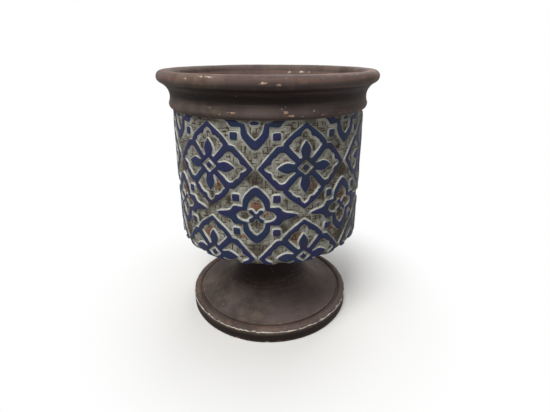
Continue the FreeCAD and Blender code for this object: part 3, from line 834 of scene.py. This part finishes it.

# %% [markdown]
# ## Finishes
#
# **Brown wash over fired clay.** A thin slip of manganese brown was brushed on and wiped back.
# It lies darkest in hollows, where the darkening is also painted shade, thins to a reddish
# brown on every outward curve, and is rubbed to a pale chalky grey along the arrises. Fired clay
# is a matte dielectric, so metallic stays 0. Its open pores swallow most of the reflection, so
# the specular level is well under the usual half.
# The brush and the wheel leave fine rings, so part of the colour follows the flat coordinates of
# the sheet.

# %% A matte material to start from
def matte_material(name):
    """An empty material with its output, its shader and the object's own coordinates."""
    material = bpy.data.materials.new(name)
    material.use_nodes = True
    tree = material.node_tree
    tree.nodes.clear()
    shader = add_node(tree, "ShaderNodeBsdfPrincipled", Metallic=0.0, IOR=1.5,
                      Specular_IOR_Level=0.15)
    add_node(tree, "ShaderNodeOutputMaterial", Surface=shader.outputs[0])
    where = add_node(tree, "ShaderNodeTexCoord").outputs["Object"]
    return material, tree, shader, where


# %% [markdown]
# The wash reads what the wrapping left on each piece: how sharply it turns, where it is chipped,
# scuffed, wiped or darkened as painted shade, where it is rubbed or lit by a painted highlight
# line, and the flat coordinates of the sheet.

# %% Brown wash: what it reads
brown_wash_clay, tree, shader, where = matte_material("brown_slip_wash_on_terracotta")
turn, chip, scuff, wash_wiped_or_shaded, rubbed_or_highlit = (
    add_node(tree, "ShaderNodeAttribute", {"attribute_name": name}).outputs["Fac"]
    for name in ("turn", "chip", "scuff", "wash_wiped_or_shaded", "rubbed_or_highlit"))
sheet = add_node(tree, "ShaderNodeUVMap", {"uv_map": "sheet"}).outputs[0]

# %% [markdown]
# A wiped wash is never even. Cloudy patches about 40 mm and 110 mm across make the base colour.

# %% Brown wash: clouds
cloud = add_node(tree, "ShaderNodeTexNoise", Vector=where, Scale=1 / (40 * MM),
                 Detail=5, Roughness=0.62).outputs[0]
cloud = add_node(tree, "ShaderNodeMapRange", SMOOTH,
                 Value=cloud, From_Min=0.36, From_Max=0.66).outputs[0]
colour = add_node(tree, "ShaderNodeMix", COLOURS, i0=cloud,
                  i6=linear("#4b423e"), i7=linear("#6d6057")).outputs[2]
haze = add_node(tree, "ShaderNodeTexNoise", Vector=where, Scale=1 / (110 * MM),
                Detail=2).outputs[0]
haze = add_node(tree, "ShaderNodeMapRange", SMOOTH,
                Value=haze, From_Min=0.42, From_Max=0.62, To_Max=0.6).outputs[0]
colour = add_node(tree, "ShaderNodeMix", COLOURS, i0=haze,
                  i6=colour, i7=linear("#5b4f50")).outputs[2]

# %% [markdown]
# The brush was held still while the wheel turned, so its rings are long round the axis and about
# 3 mm across.

# %% Brown wash: brush rings
stretched = add_node(tree, "ShaderNodeVectorMath", {"operation": "MULTIPLY"}, i0=sheet,
                     i1=(1 / 70, 1 / 3.2, 0)).outputs[0]
brush = add_node(tree, "ShaderNodeTexNoise", Vector=stretched, Scale=1.0,
                 Detail=3).outputs[0]
ringed = add_node(tree, "ShaderNodeMapRange", Value=brush, From_Min=0.45, From_Max=0.75,
                  To_Max=0.3).outputs[0]
colour = add_node(tree, "ShaderNodeMix", COLOURS, i0=ringed,
                  i6=colour, i7=linear("#75675c")).outputs[2]

# %% [markdown]
# Where the wash was wiped off, the red clay shows. Where it pooled, and in every sharp hollow, it
# is nearly black, and this darkening is also painted shade: in the creases, and where the marks
# put it under the roll, the bead and the bowl.

# %% Brown wash: wiped, pooled and painted shade
thin_or_shaded = add_node(tree, "ShaderNodeMath", {"operation": "MULTIPLY_ADD"}, i0=brush, i1=0.5,
                i2=-0.25).outputs[0]
thin_or_shaded = add_node(tree, "ShaderNodeMath", {"operation": "ADD"}, i0=thin_or_shaded, i1=wash_wiped_or_shaded).outputs[0]
off = add_node(tree, "ShaderNodeMapRange", SMOOTH,
               Value=thin_or_shaded, From_Min=0.1, From_Max=1.0).outputs[0]
colour = add_node(tree, "ShaderNodeMix", COLOURS, i0=off,
                  i6=colour, i7=linear("#84523f")).outputs[2]
# Painted shade and pooled wash: the darkest marks go nearly black.
pooled_or_shaded = add_node(tree, "ShaderNodeMapRange", SMOOTH,
                  Value=thin_or_shaded, From_Min=0.0, From_Max=-0.8, To_Max=0.95).outputs[0]
colour = add_node(tree, "ShaderNodeMix", COLOURS, i0=pooled_or_shaded,
                  i6=colour, i7=linear("#1f1513")).outputs[2]
# Painted shade in every sharp hollow, over the wash that pools there.
hollow_pooling_and_shade = add_node(tree, "ShaderNodeMapRange", SMOOTH,
                  Value=turn, From_Min=-0.05, From_Max=-0.4, To_Max=0.7).outputs[0]
colour = add_node(tree, "ShaderNodeMix", COLOURS, i0=hollow_pooling_and_shade,
                  i6=colour, i7=linear("#211a19")).outputs[2]

# %% [markdown]
# Handling leaves a chalky grey: nearly solid on the sharpest edge, and broken into dashes about
# 9 mm long elsewhere. On the foot's bead and along its groove the same chalk paints thin highlight
# lines.

# %% Brown wash: worn edges and painted highlight lines
grains = add_node(tree, "ShaderNodeTexNoise", Vector=where, Scale=1 / (2.5 * MM),
                  Detail=4, Roughness=0.7).outputs[0]
dashed = add_node(tree, "ShaderNodeVectorMath", {"operation": "MULTIPLY"}, i0=sheet,
                  i1=(1 / 9, 1 / 2.5, 0)).outputs[0]
dashes = add_node(tree, "ShaderNodeTexNoise", Vector=dashed, Scale=1.0, Detail=4,
                  Roughness=0.65).outputs[0]
worn = add_node(tree, "ShaderNodeMath", {"operation": "MULTIPLY_ADD"}, i0=rubbed_or_highlit,
                i1=0.34, i2=dashes).outputs[0]
worn = add_node(tree, "ShaderNodeMapRange", SMOOTH,
                Value=worn, From_Min=0.73, From_Max=0.83).outputs[0]
colour = add_node(tree, "ShaderNodeMix", COLOURS, i0=worn,
                  i6=colour, i7=linear("#ddd3c4")).outputs[2]

# %% [markdown]
# Knocks show bare terracotta in the chips, and chalk or tan clay in the scuffs.

# %% Brown wash: chips and scuffs
colour = add_node(tree, "ShaderNodeMix", COLOURS, i0=chip,
                  i6=colour, i7=linear("#a9745a")).outputs[2]
smear = add_node(tree, "ShaderNodeMath", {"operation": "ADD"}, i0=grains, i1=dashes)
chalk = add_node(tree, "ShaderNodeMath", {"operation": "MULTIPLY_ADD"}, i0=scuff,
                 i1=0.62, i2=smear.outputs[0]).outputs[0]
chalk = add_node(tree, "ShaderNodeMapRange", SMOOTH,
                 Value=chalk, From_Min=1.32, From_Max=1.52).outputs[0]
tint = add_node(tree, "ShaderNodeMix", COLOURS, i0=cloud,
                i6=linear("#b5835f"), i7=linear("#e0d9ce")).outputs[2]
colour = add_node(tree, "ShaderNodeMix", COLOURS, i0=chalk,
                  i6=colour, i7=tint).outputs[2]

# %% [markdown]
# Stray specks of kiln dust, a millimetre or two across, come last. The grain of the clay then
# varies the roughness, and grain and brush together are a fine bump.

# %% Brown wash: dust, sheen and brush marks
dust = add_node(tree, "ShaderNodeTexVoronoi", {"feature": "F1"}, Vector=where,
                Scale=1 / (11 * MM)).outputs["Distance"]
dust = add_node(tree, "ShaderNodeMapRange", SMOOTH,
                Value=dust, From_Min=0.1, From_Max=0.05, To_Max=0.5).outputs[0]
colour = add_node(tree, "ShaderNodeMix", COLOURS, i0=dust,
                  i6=colour, i7=linear("#a99f92")).outputs[2]
tree.links.new(colour, shader.inputs["Base Color"])

rough = add_node(tree, "ShaderNodeMapRange", Value=grains, To_Min=0.58, To_Max=0.8)
tree.links.new(rough.outputs[0], shader.inputs["Roughness"])
both = add_node(tree, "ShaderNodeMath", {"operation": "ADD"}, i0=grains, i1=brush).outputs[0]
bump = add_node(tree, "ShaderNodeBump", Height=both, Strength=0.4, Distance=0.3 * MM)
tree.links.new(bump.outputs[0], shader.inputs["Normal"])
print(brown_wash_clay.name, len(tree.nodes), "nodes")

# %% [markdown]
# **Painted relief.** The sunken fields were washed with a pale engobe that was wiped off the
# high places, and the raised bands were then painted by hand in a matte cobalt blue. So the
# distance from the carved edge sets the colour: blue on the band, a chalky line down the bevel,
# and greyed clay in the field, where a comb left upright and level scratches.

# %% Painted relief: what it reads
painted_relief_clay, tree, shader, where = matte_material("cobalt_painted_relief_terracotta")
edge, relief, rust, umber = (
    add_node(tree, "ShaderNodeAttribute", {"attribute_name": name}).outputs["Fac"]
    for name in ("edge", "relief", "rust", "umber"))
sheet = add_node(tree, "ShaderNodeUVMap", {"uv_map": "sheet"}).outputs[0]
grains = add_node(tree, "ShaderNodeTexNoise", Vector=where, Scale=1 / (2 * MM),
                  Detail=4, Roughness=0.65).outputs[0]
wander = add_node(tree, "ShaderNodeTexNoise", Vector=where, Scale=1 / (14 * MM),
                  Detail=3).outputs[0]
cloud = add_node(tree, "ShaderNodeTexNoise", Vector=where, Scale=1 / (50 * MM),
                 Detail=3).outputs[0]

# %% [markdown]
# The brush didn't follow the edge exactly: it wanders by half a millimetre.

# %% Painted relief: a loose brush
loose = add_node(tree, "ShaderNodeMath", {"operation": "ADD"}, i0=grains, i1=wander)
loose = add_node(tree, "ShaderNodeMath", {"operation": "SUBTRACT"}, i0=loose.outputs[0],
                 i1=1.0)
painted_to = add_node(tree, "ShaderNodeMath", {"operation": "MULTIPLY_ADD"},
                      i0=loose.outputs[0], i1=1.1, i2=edge).outputs[0]

# %% [markdown]
# The fields hold a greyed engobe, combed up and down and across. The scratches start and stop, so
# they are stretched noise, under 2 mm wide and about 14 mm long, and not a regular wave. That is
# coarser than a real comb's teeth, because finer ones wouldn't show in the render.

# %% Painted relief: combed fields
WIDE, LONG = 1 / 1.9, 1 / 14
scratches = []
for stretch in ((WIDE, LONG, 0), (LONG, WIDE, 0)):
    stroke = add_node(tree, "ShaderNodeVectorMath", {"operation": "MULTIPLY"}, i0=sheet,
                      i1=stretch).outputs[0]
    scratches.append(add_node(tree, "ShaderNodeTexNoise", Vector=stroke, Scale=1.0,
                              Detail=2, Roughness=0.4).outputs[0])
comb = add_node(tree, "ShaderNodeMath", {"operation": "MAXIMUM"}, i0=scratches[0],
                i1=scratches[1]).outputs[0]
comb = add_node(tree, "ShaderNodeMapRange", SMOOTH,
                Value=comb, From_Min=0.64, From_Max=0.54).outputs[0]
engobe = add_node(tree, "ShaderNodeMapRange", SMOOTH,
                  Value=wander, From_Min=0.33, From_Max=0.66).outputs[0]
field = add_node(tree, "ShaderNodeMix", COLOURS, i0=engobe,
                 i6=linear("#7c776b"), i7=linear("#b0afa3")).outputs[2]

# %% [markdown]
# Stains are broken up by the same noise that thins the engobe, and the scratches go through both.

# %% Painted relief: stains
earth = add_node(tree, "ShaderNodeMath", {"operation": "MULTIPLY"}, i0=umber,
                 i1=wander).outputs[0]
earth = add_node(tree, "ShaderNodeMapRange", SMOOTH,
                 Value=earth, From_Min=0.1, From_Max=0.38, To_Max=0.8).outputs[0]
field = add_node(tree, "ShaderNodeMix", COLOURS, i0=earth,
                 i6=field, i7=linear("#4f4639")).outputs[2]
rusty = add_node(tree, "ShaderNodeMath", {"operation": "MULTIPLY"}, i0=rust,
                 i1=wander).outputs[0]
rusty = add_node(tree, "ShaderNodeMapRange", SMOOTH,
                 Value=rusty, From_Min=0.14, From_Max=0.36, To_Max=0.85).outputs[0]
field = add_node(tree, "ShaderNodeMix", COLOURS, i0=rusty,
                 i6=field, i7=linear("#8f5f43")).outputs[2]
field = add_node(tree, "ShaderNodeMix", COLOURS, i0=comb,
                 i6=linear("#463a32"), i7=field).outputs[2]

# %% [markdown]
# A chalky line runs down the bevel, worn away here and there.

# %% Painted relief: chalky bevels
chalk = add_node(tree, "ShaderNodeMapRange", SMOOTH,
                 Value=painted_to, From_Min=-3.1, From_Max=-2.1).outputs[0]
lasting = add_node(tree, "ShaderNodeMapRange", SMOOTH,
                   Value=wander, From_Min=0.3, From_Max=0.5, To_Min=0.35).outputs[0]
chalk = add_node(tree, "ShaderNodeMath", {"operation": "MULTIPLY"}, i0=chalk,
                 i1=lasting).outputs[0]
pale = add_node(tree, "ShaderNodeMix", COLOURS, i0=wander,
                i6=linear("#95968b"), i7=linear("#d4d3c9")).outputs[2]
colour = add_node(tree, "ShaderNodeMix", COLOURS, i0=chalk,
                  i6=field, i7=pale).outputs[2]

# %% [markdown]
# The cobalt paint leans to violet or to slate, and is worn where the grain stands proud.

# %% Painted relief: cobalt paint
shift = add_node(tree, "ShaderNodeMapRange", SMOOTH,
                 Value=cloud, From_Min=0.36, From_Max=0.62).outputs[0]
cobalt = add_node(tree, "ShaderNodeMix", COLOURS, i0=shift,
                  i6=linear("#2d2e54"), i7=linear("#293550")).outputs[2]
violet = add_node(tree, "ShaderNodeMapRange", SMOOTH,
                  Value=wander, From_Min=0.48, From_Max=0.7, To_Max=0.5).outputs[0]
cobalt = add_node(tree, "ShaderNodeMix", COLOURS, i0=violet,
                  i6=cobalt, i7=linear("#3b3555")).outputs[2]
worn = add_node(tree, "ShaderNodeMapRange", SMOOTH,
                Value=grains, From_Min=0.6, From_Max=0.78, To_Max=0.6).outputs[0]
cobalt = add_node(tree, "ShaderNodeMix", COLOURS, i0=worn,
                  i6=cobalt, i7=linear("#5a5d78")).outputs[2]
band = add_node(tree, "ShaderNodeMapRange", SMOOTH,
                Value=painted_to, From_Min=-0.35, From_Max=0.15).outputs[0]
colour = add_node(tree, "ShaderNodeMix", COLOURS, i0=band,
                  i6=colour, i7=cobalt).outputs[2]

# %% [markdown]
# Soot and soil greyed whole stretches of the wall. The underside and the inside of the same piece
# are bare, reddish clay.

# %% Painted relief: soil, and bare clay around the tiles
soil = add_node(tree, "ShaderNodeTexNoise", Vector=where, Scale=1 / (32 * MM),
                Detail=4, Roughness=0.6).outputs[0]
soil = add_node(tree, "ShaderNodeMapRange", SMOOTH,
                Value=soil, From_Min=0.5, From_Max=0.72, To_Max=0.6).outputs[0]
colour = add_node(tree, "ShaderNodeMix", COLOURS, i0=soil,
                  i6=colour, i7=linear("#36322e")).outputs[2]
bare = add_node(tree, "ShaderNodeMix", COLOURS, i0=cloud,
                i6=linear("#4a342b"), i7=linear("#7b5340")).outputs[2]
tiled = add_node(tree, "ShaderNodeMapRange", SMOOTH,
                 Value=relief, From_Min=0.0, From_Max=0.15).outputs[0]
colour = add_node(tree, "ShaderNodeMix", COLOURS, i0=tiled,
                  i6=bare, i7=colour).outputs[2]
tree.links.new(colour, shader.inputs["Base Color"])
rough = add_node(tree, "ShaderNodeMapRange", Value=band, To_Min=0.85, To_Max=0.6)
tree.links.new(rough.outputs[0], shader.inputs["Roughness"])

# %% [markdown]
# The scratches are a bump about 0.4 mm deep, and only in the fields. The carved shapes themselves
# are real mesh.

# %% Painted relief: depth of the scratches
cut = add_node(tree, "ShaderNodeMath", {"operation": "SUBTRACT"}, i0=1.0, i1=chalk)
cut = add_node(tree, "ShaderNodeMath", {"operation": "MULTIPLY"}, i0=cut.outputs[0],
               i1=comb)
grainy = add_node(tree, "ShaderNodeMath", {"operation": "MULTIPLY_ADD"}, i0=grains,
                  i1=0.6, i2=cut.outputs[0]).outputs[0]
bump = add_node(tree, "ShaderNodeBump", Height=grainy, Strength=0.7, Distance=0.4 * MM)
tree.links.new(bump.outputs[0], shader.inputs["Normal"])
print(painted_relief_clay.name, len(tree.nodes), "nodes")

# %% [markdown]
# **Bare fired clay.** Nobody paints what won't be seen: the floor disc and the foot ring show the
# red-brown body, stained darker by water, with coarse grog of about a millimetre in it.

# %% Bare clay
bare_clay, tree, shader, where = matte_material("bare_low_fired_terracotta")
stain = add_node(tree, "ShaderNodeTexNoise", Vector=where, Scale=1 / (35 * MM),
                 Detail=4).outputs[0]
stain = add_node(tree, "ShaderNodeMapRange", SMOOTH,
                 Value=stain, From_Min=0.35, From_Max=0.65).outputs[0]
colour = add_node(tree, "ShaderNodeMix", COLOURS, i0=stain,
                  i6=linear("#6b4a39"), i7=linear("#96654a")).outputs[2]
grog = add_node(tree, "ShaderNodeTexVoronoi", {"feature": "F1"}, Vector=where,
                Scale=1 / (3.5 * MM)).outputs["Distance"]
speck = add_node(tree, "ShaderNodeMapRange", SMOOTH,
                 Value=grog, From_Min=0.22, From_Max=0.1, To_Max=0.6).outputs[0]
colour = add_node(tree, "ShaderNodeMix", COLOURS, i0=speck,
                  i6=colour, i7=linear("#c09a7c")).outputs[2]
tree.links.new(colour, shader.inputs["Base Color"])
shader.inputs["Roughness"].default_value = 0.88
bump = add_node(tree, "ShaderNodeBump", Height=grog, Strength=0.4, Distance=0.3 * MM)
tree.links.new(bump.outputs[0], shader.inputs["Normal"])
print(bare_clay.name, len(tree.nodes), "nodes")

# %% [markdown]
# Now the pieces. The wall is the tile cell wrapped seven times; its star is centred a few degrees
# to the left of the photographed side, so the row starts half a turn from there and the seam of
# the sheet falls at the back.

# %% Relief wall
STAR_AT = math.radians(-5.8)
wrap("moulded_tile_wall", cell_sheet, wall_section, "pot",
     painted_relief_clay, "pot_wall", repeats=ROUNDS, width=CELL * MM,
     angle=STAR_AT - math.pi + math.pi / ROUNDS, shift=2.2 * MM, dents=1.0 * MM, crease=50)

# %% [markdown]
# The turned pieces follow, each as a sheet with rows at the points of its section. Only surfaces
# that show are open to the hand; faces that meet another piece stay exactly where the CAD has
# them.

# %% Marks of brush and use, with painted shade and highlights
# Marks on a section: r, z and reach in millimetres, how the wash was wiped, where below zero means
# thick wash and, at some marks, painted shade, and how far it is rubbed.
# The rim's marks below zero under the roll, in the neck and under the bead paint the shade that
# falls there, over the pooled wash.
RIM_WASH_AND_SHADE_MARKS = [(144, 374, 9, -1.2, 0), (155, 384, 5, -0.9, 0), (154, 400, 3, 0.6, 0.2),
             (161, 394, 5, 0.35, 0.2), (149, 354, 4, 0.05, 0.35), (137, 384, 14, 0.45, 0),
             (150, 349, 3, -0.7, 0), (132, 352, 16, 0.3, 0)]
# On the foot, the mark on the side below the arris paints shade there, and the marks on the bead
# and in the groove paint thin highlight lines as thinner wash and chalk.
FOOT_WASH_SHADE_AND_HIGHLIGHT_MARKS = [(140.5, 20.5, 2.2, 0.3, 1), (140.5, 9, 8, -0.9, 0), (134.5, 23.7, 3, 0.3, 0.3),
              (126.8, 21, 3, 0.3, 0.3), (140, 0, 1.5, 0, 0.6)]
# The first stem mark is a painted shadow: the bowl's shade on the top of the stem. The last paints
# a highlight line on the stem's lip.
STEM_WASH_SHADOW_AND_HIGHLIGHT_MARKS = [(50, 100, 42, -1.3, 0), (105, 34, 24, 0.15, 0), (125, 24, 3, 0.15, 0.35)]
# The second seat mark darkens the lower corner of the seat, under the bowl.
SEAT_MARKS = [(76.6, 133, 2, 0, 0.5), (76, 116, 6, -0.5, 0)]

# Scuffs: degrees round from the photographed side, r and z of the spot, then its two reaches.
RIM_SCUFFS = [(-36, 162, 395, 4, 2), (-28, 160, 397, 4, 1.6), (-24, 160, 397, 7, 2.2),
              (-19, 160, 396, 3, 1.6), (-10, 160, 393, 6, 1.8), (-1, 162, 392, 7, 2.2),
              (5, 163, 390, 4, 1.6), (44, 159, 399, 2, 1.2), (-29, 147, 361, 7, 1.2),
              (-16, 148.5, 357, 10, 1.3), (7, 146.5, 362, 3.5, 2), (9, 148, 358, 4, 2.2),
              (11.5, 149, 354, 6, 2), (22.5, 148, 359, 2.5, 1.6), (15, 141, 388, 5, 3),
              (25, 141, 389, 6, 3), (31, 141, 388, 3, 2), (152, 162, 393, 6, 2),
              (-120, 161, 396, 8, 2), (-148, 149, 356, 7, 2), (98, 149, 355, 8, 1.5),
              (120, 160, 397, 5, 2), (-75, 148, 358, 5, 1.6)]
# Those on the inside are seen across the pot, so they lie on its far side.
RIM_SCUFFS = [(180 - d if r < 145 else d, r, z, long, high) for d, r, z, long, high in RIM_SCUFFS]
FOOT_SCUFFS = [(-21, 140.5, 2, 3, 2), (-1, 140.3, 1, 7, 1.8), (-13, 140.5, 3, 2, 1.5),
               (75, 140.5, 3, 8, 2), (-110, 140.5, 4, 6, 2), (160, 140.5, 12, 5, 2)]
print("scuffs: rim", len(RIM_SCUFFS), "foot", len(FOOT_SCUFFS))

# %% Turned pieces
for name, section, step, around, body, slot, clay, node, free, marks, scuffs in (
        ("rolled_rim", rim_section, 4, 420, "pot", "brown_wash_clay", brown_wash_clay,
         "pot_rim", lambda r, z: z > 350, RIM_WASH_AND_SHADE_MARKS, RIM_SCUFFS),
        ("pot_floor_disc", floor_section, 12, 120, "pot", "bare_clay", bare_clay,
         "pot_floor", lambda r, z: False, [], []),
        ("pot_foot_ring_band", ring_section, 6, 120, "pot", "bare_clay", bare_clay,
         "pot_foot_ring", lambda r, z: False, [], []),
        ("stand_seat_plate", seat_section, 10, 180, "stand", "brown_wash_clay", brown_wash_clay,
         "stand_seat", lambda r, z: r > 72 and z > 115, SEAT_MARKS, []),
        ("stand_trumpet_stem", stem_section, 5, 240, "stand", "brown_wash_clay", brown_wash_clay,
         "stand_stem", lambda r, z: 26 < z < 113, STEM_WASH_SHADOW_AND_HIGHLIGHT_MARKS, []),
        ("stand_disc_foot", foot_section, 3, 420, "stand", "brown_wash_clay", brown_wash_clay,
         "stand_foot", lambda r, z: r > 126.5 and z > 0.3, FOOT_WASH_SHADE_AND_HIGHLIGHT_MARKS, FOOT_SCUFFS)):
    fine = filled(section, step)
    sheet, girth = turned_sheet(name, fine, around, free, marks, scuffs)
    wrap(name, sheet, fine, body, clay, node, width=girth, angle=math.pi,
         dents=0.9 * MM, rings=0.4 * MM, chips=0.9 * MM, crease=35)

# %% [markdown]
# ## Studio
#
# A plain pale floor, and a broad soft lamp above and to the left of the camera, as in daylight
# from a doorway. Far from the object the camera sees plain white, so that the floor has no
# horizon; near it the floor keeps its shadow. To other rays the floor is a mid grey, as a
# workshop floor is, so that the hollow under the bowl stays dark.

# %% Floor
def sees_background(tree):
    """1 for a ray that should find the white background, by eye, by gloss or through glass."""
    rays = add_node(tree, "ShaderNodeLightPath").outputs
    either = add_node(tree, "ShaderNodeMath", {"operation": "MAXIMUM"},
                      i0=rays["Is Camera Ray"], i1=rays["Is Glossy Ray"]).outputs[0]
    return add_node(tree, "ShaderNodeMath", {"operation": "MAXIMUM"}, i0=either,
                    i1=rays["Is Transmission Ray"]).outputs[0]


bpy.ops.mesh.primitive_plane_add(size=14, location=(0, 0, 0))
floor = bpy.context.object
floor.name = "studio_floor"
floor_paper, tree, shader, where = matte_material("matte_white_backdrop_paper")
shader.inputs["Base Color"].default_value = linear("#eeedea")
shader.inputs["Roughness"].default_value = 0.95
away = add_node(tree, "ShaderNodeVectorMath", {"operation": "LENGTH"}, i0=where).outputs["Value"]
away = add_node(tree, "ShaderNodeMapRange", SMOOTH, Value=away,
                From_Min=0.13, From_Max=0.36).outputs[0]
white = add_node(tree, "ShaderNodeEmission", Color=(1, 1, 1, 1), Strength=1.0)
paper = add_node(tree, "ShaderNodeMixShader", i0=away, i1=shader.outputs[0],
                 i2=white.outputs[0])
grey = add_node(tree, "ShaderNodeBsdfDiffuse", Color=linear("#8c8a87"))
mixed = add_node(tree, "ShaderNodeMixShader", i0=sees_background(tree), i1=grey.outputs[0],
                 i2=paper.outputs[0])
output = next(n for n in tree.nodes if n.type == "OUTPUT_MATERIAL")
tree.links.new(mixed.outputs[0], output.inputs["Surface"])
floor.data.materials.append(floor_paper)
print("floor:", floor.dimensions[0], "m wide")

# %% [markdown]
# The world is white to the same rays, and gives the object only a little light from all round.

# %% World
ROOM_LIGHT = 0.16
world = bpy.data.worlds.new("studio")
world.use_nodes = True
scene.world = world
sky = world.node_tree
sky.nodes.clear()
strength = add_node(sky, "ShaderNodeMapRange", Value=sees_background(sky), To_Min=ROOM_LIGHT,
                    To_Max=1.0)
glow = add_node(sky, "ShaderNodeBackground", Color=(1, 1, 1, 1), Strength=strength.outputs[0])
add_node(sky, "ShaderNodeOutputWorld", Surface=glow.outputs[0])

# %% [markdown]
# A weak lamp on the right keeps the shade side readable, and one behind does so for the back.
# Each is given its power in watts, its width and its place in metres, and faces the pot.

# %% Lamps
POT_MIDDLE = Vector((0, 0, 0.25))
for name, watts, size, spot in (
        ("window_lamp", 44, 1.0, (-0.5, -1.0, 2.05)),
        ("shade_lamp", 2.5, 1.2, (1.6, -0.9, 0.9)),
        ("garden_lamp", 16, 1.4, (0.5, 1.5, 1.5))):
    light = bpy.data.lights.new(name, "AREA")
    light.energy = watts
    light.size = size
    lamp = bpy.data.objects.new(name, light)
    scene.collection.objects.link(lamp)
    lamp.location = spot
    lamp.rotation_euler = (POT_MIDDLE - Vector(spot)).to_track_quat("-Z", "Y").to_euler()
    print(name, watts, "W")

# %% [markdown]
# The photograph was taken from close by, a little above the rim and nearly straight on. Height,
# tilt and lens were fitted to the outline of foot, wall and rim. The fitted focal length is in
# pixels, as the width of the photograph is.

# %% Camera
PHOTO_WIDTH, FOCAL_LENGTH = 550, 362
DOWNWARD = 23.34
camera = bpy.data.cameras.new("photo_view")
camera.sensor_width = 36
camera.lens = camera.sensor_width * FOCAL_LENGTH / PHOTO_WIDTH
viewer = bpy.data.objects.new("photo_view", camera)
scene.collection.objects.link(viewer)
viewer.location = (0.0101, -0.5803, 0.4256)
viewer.rotation_euler = (math.radians(90 - DOWNWARD), 0, 0)
scene.camera = viewer
scene.view_settings.view_transform = "Standard"
print("lens:", round(camera.lens, 2), "mm")

# %% Finish
bpy.context.view_layer.update()
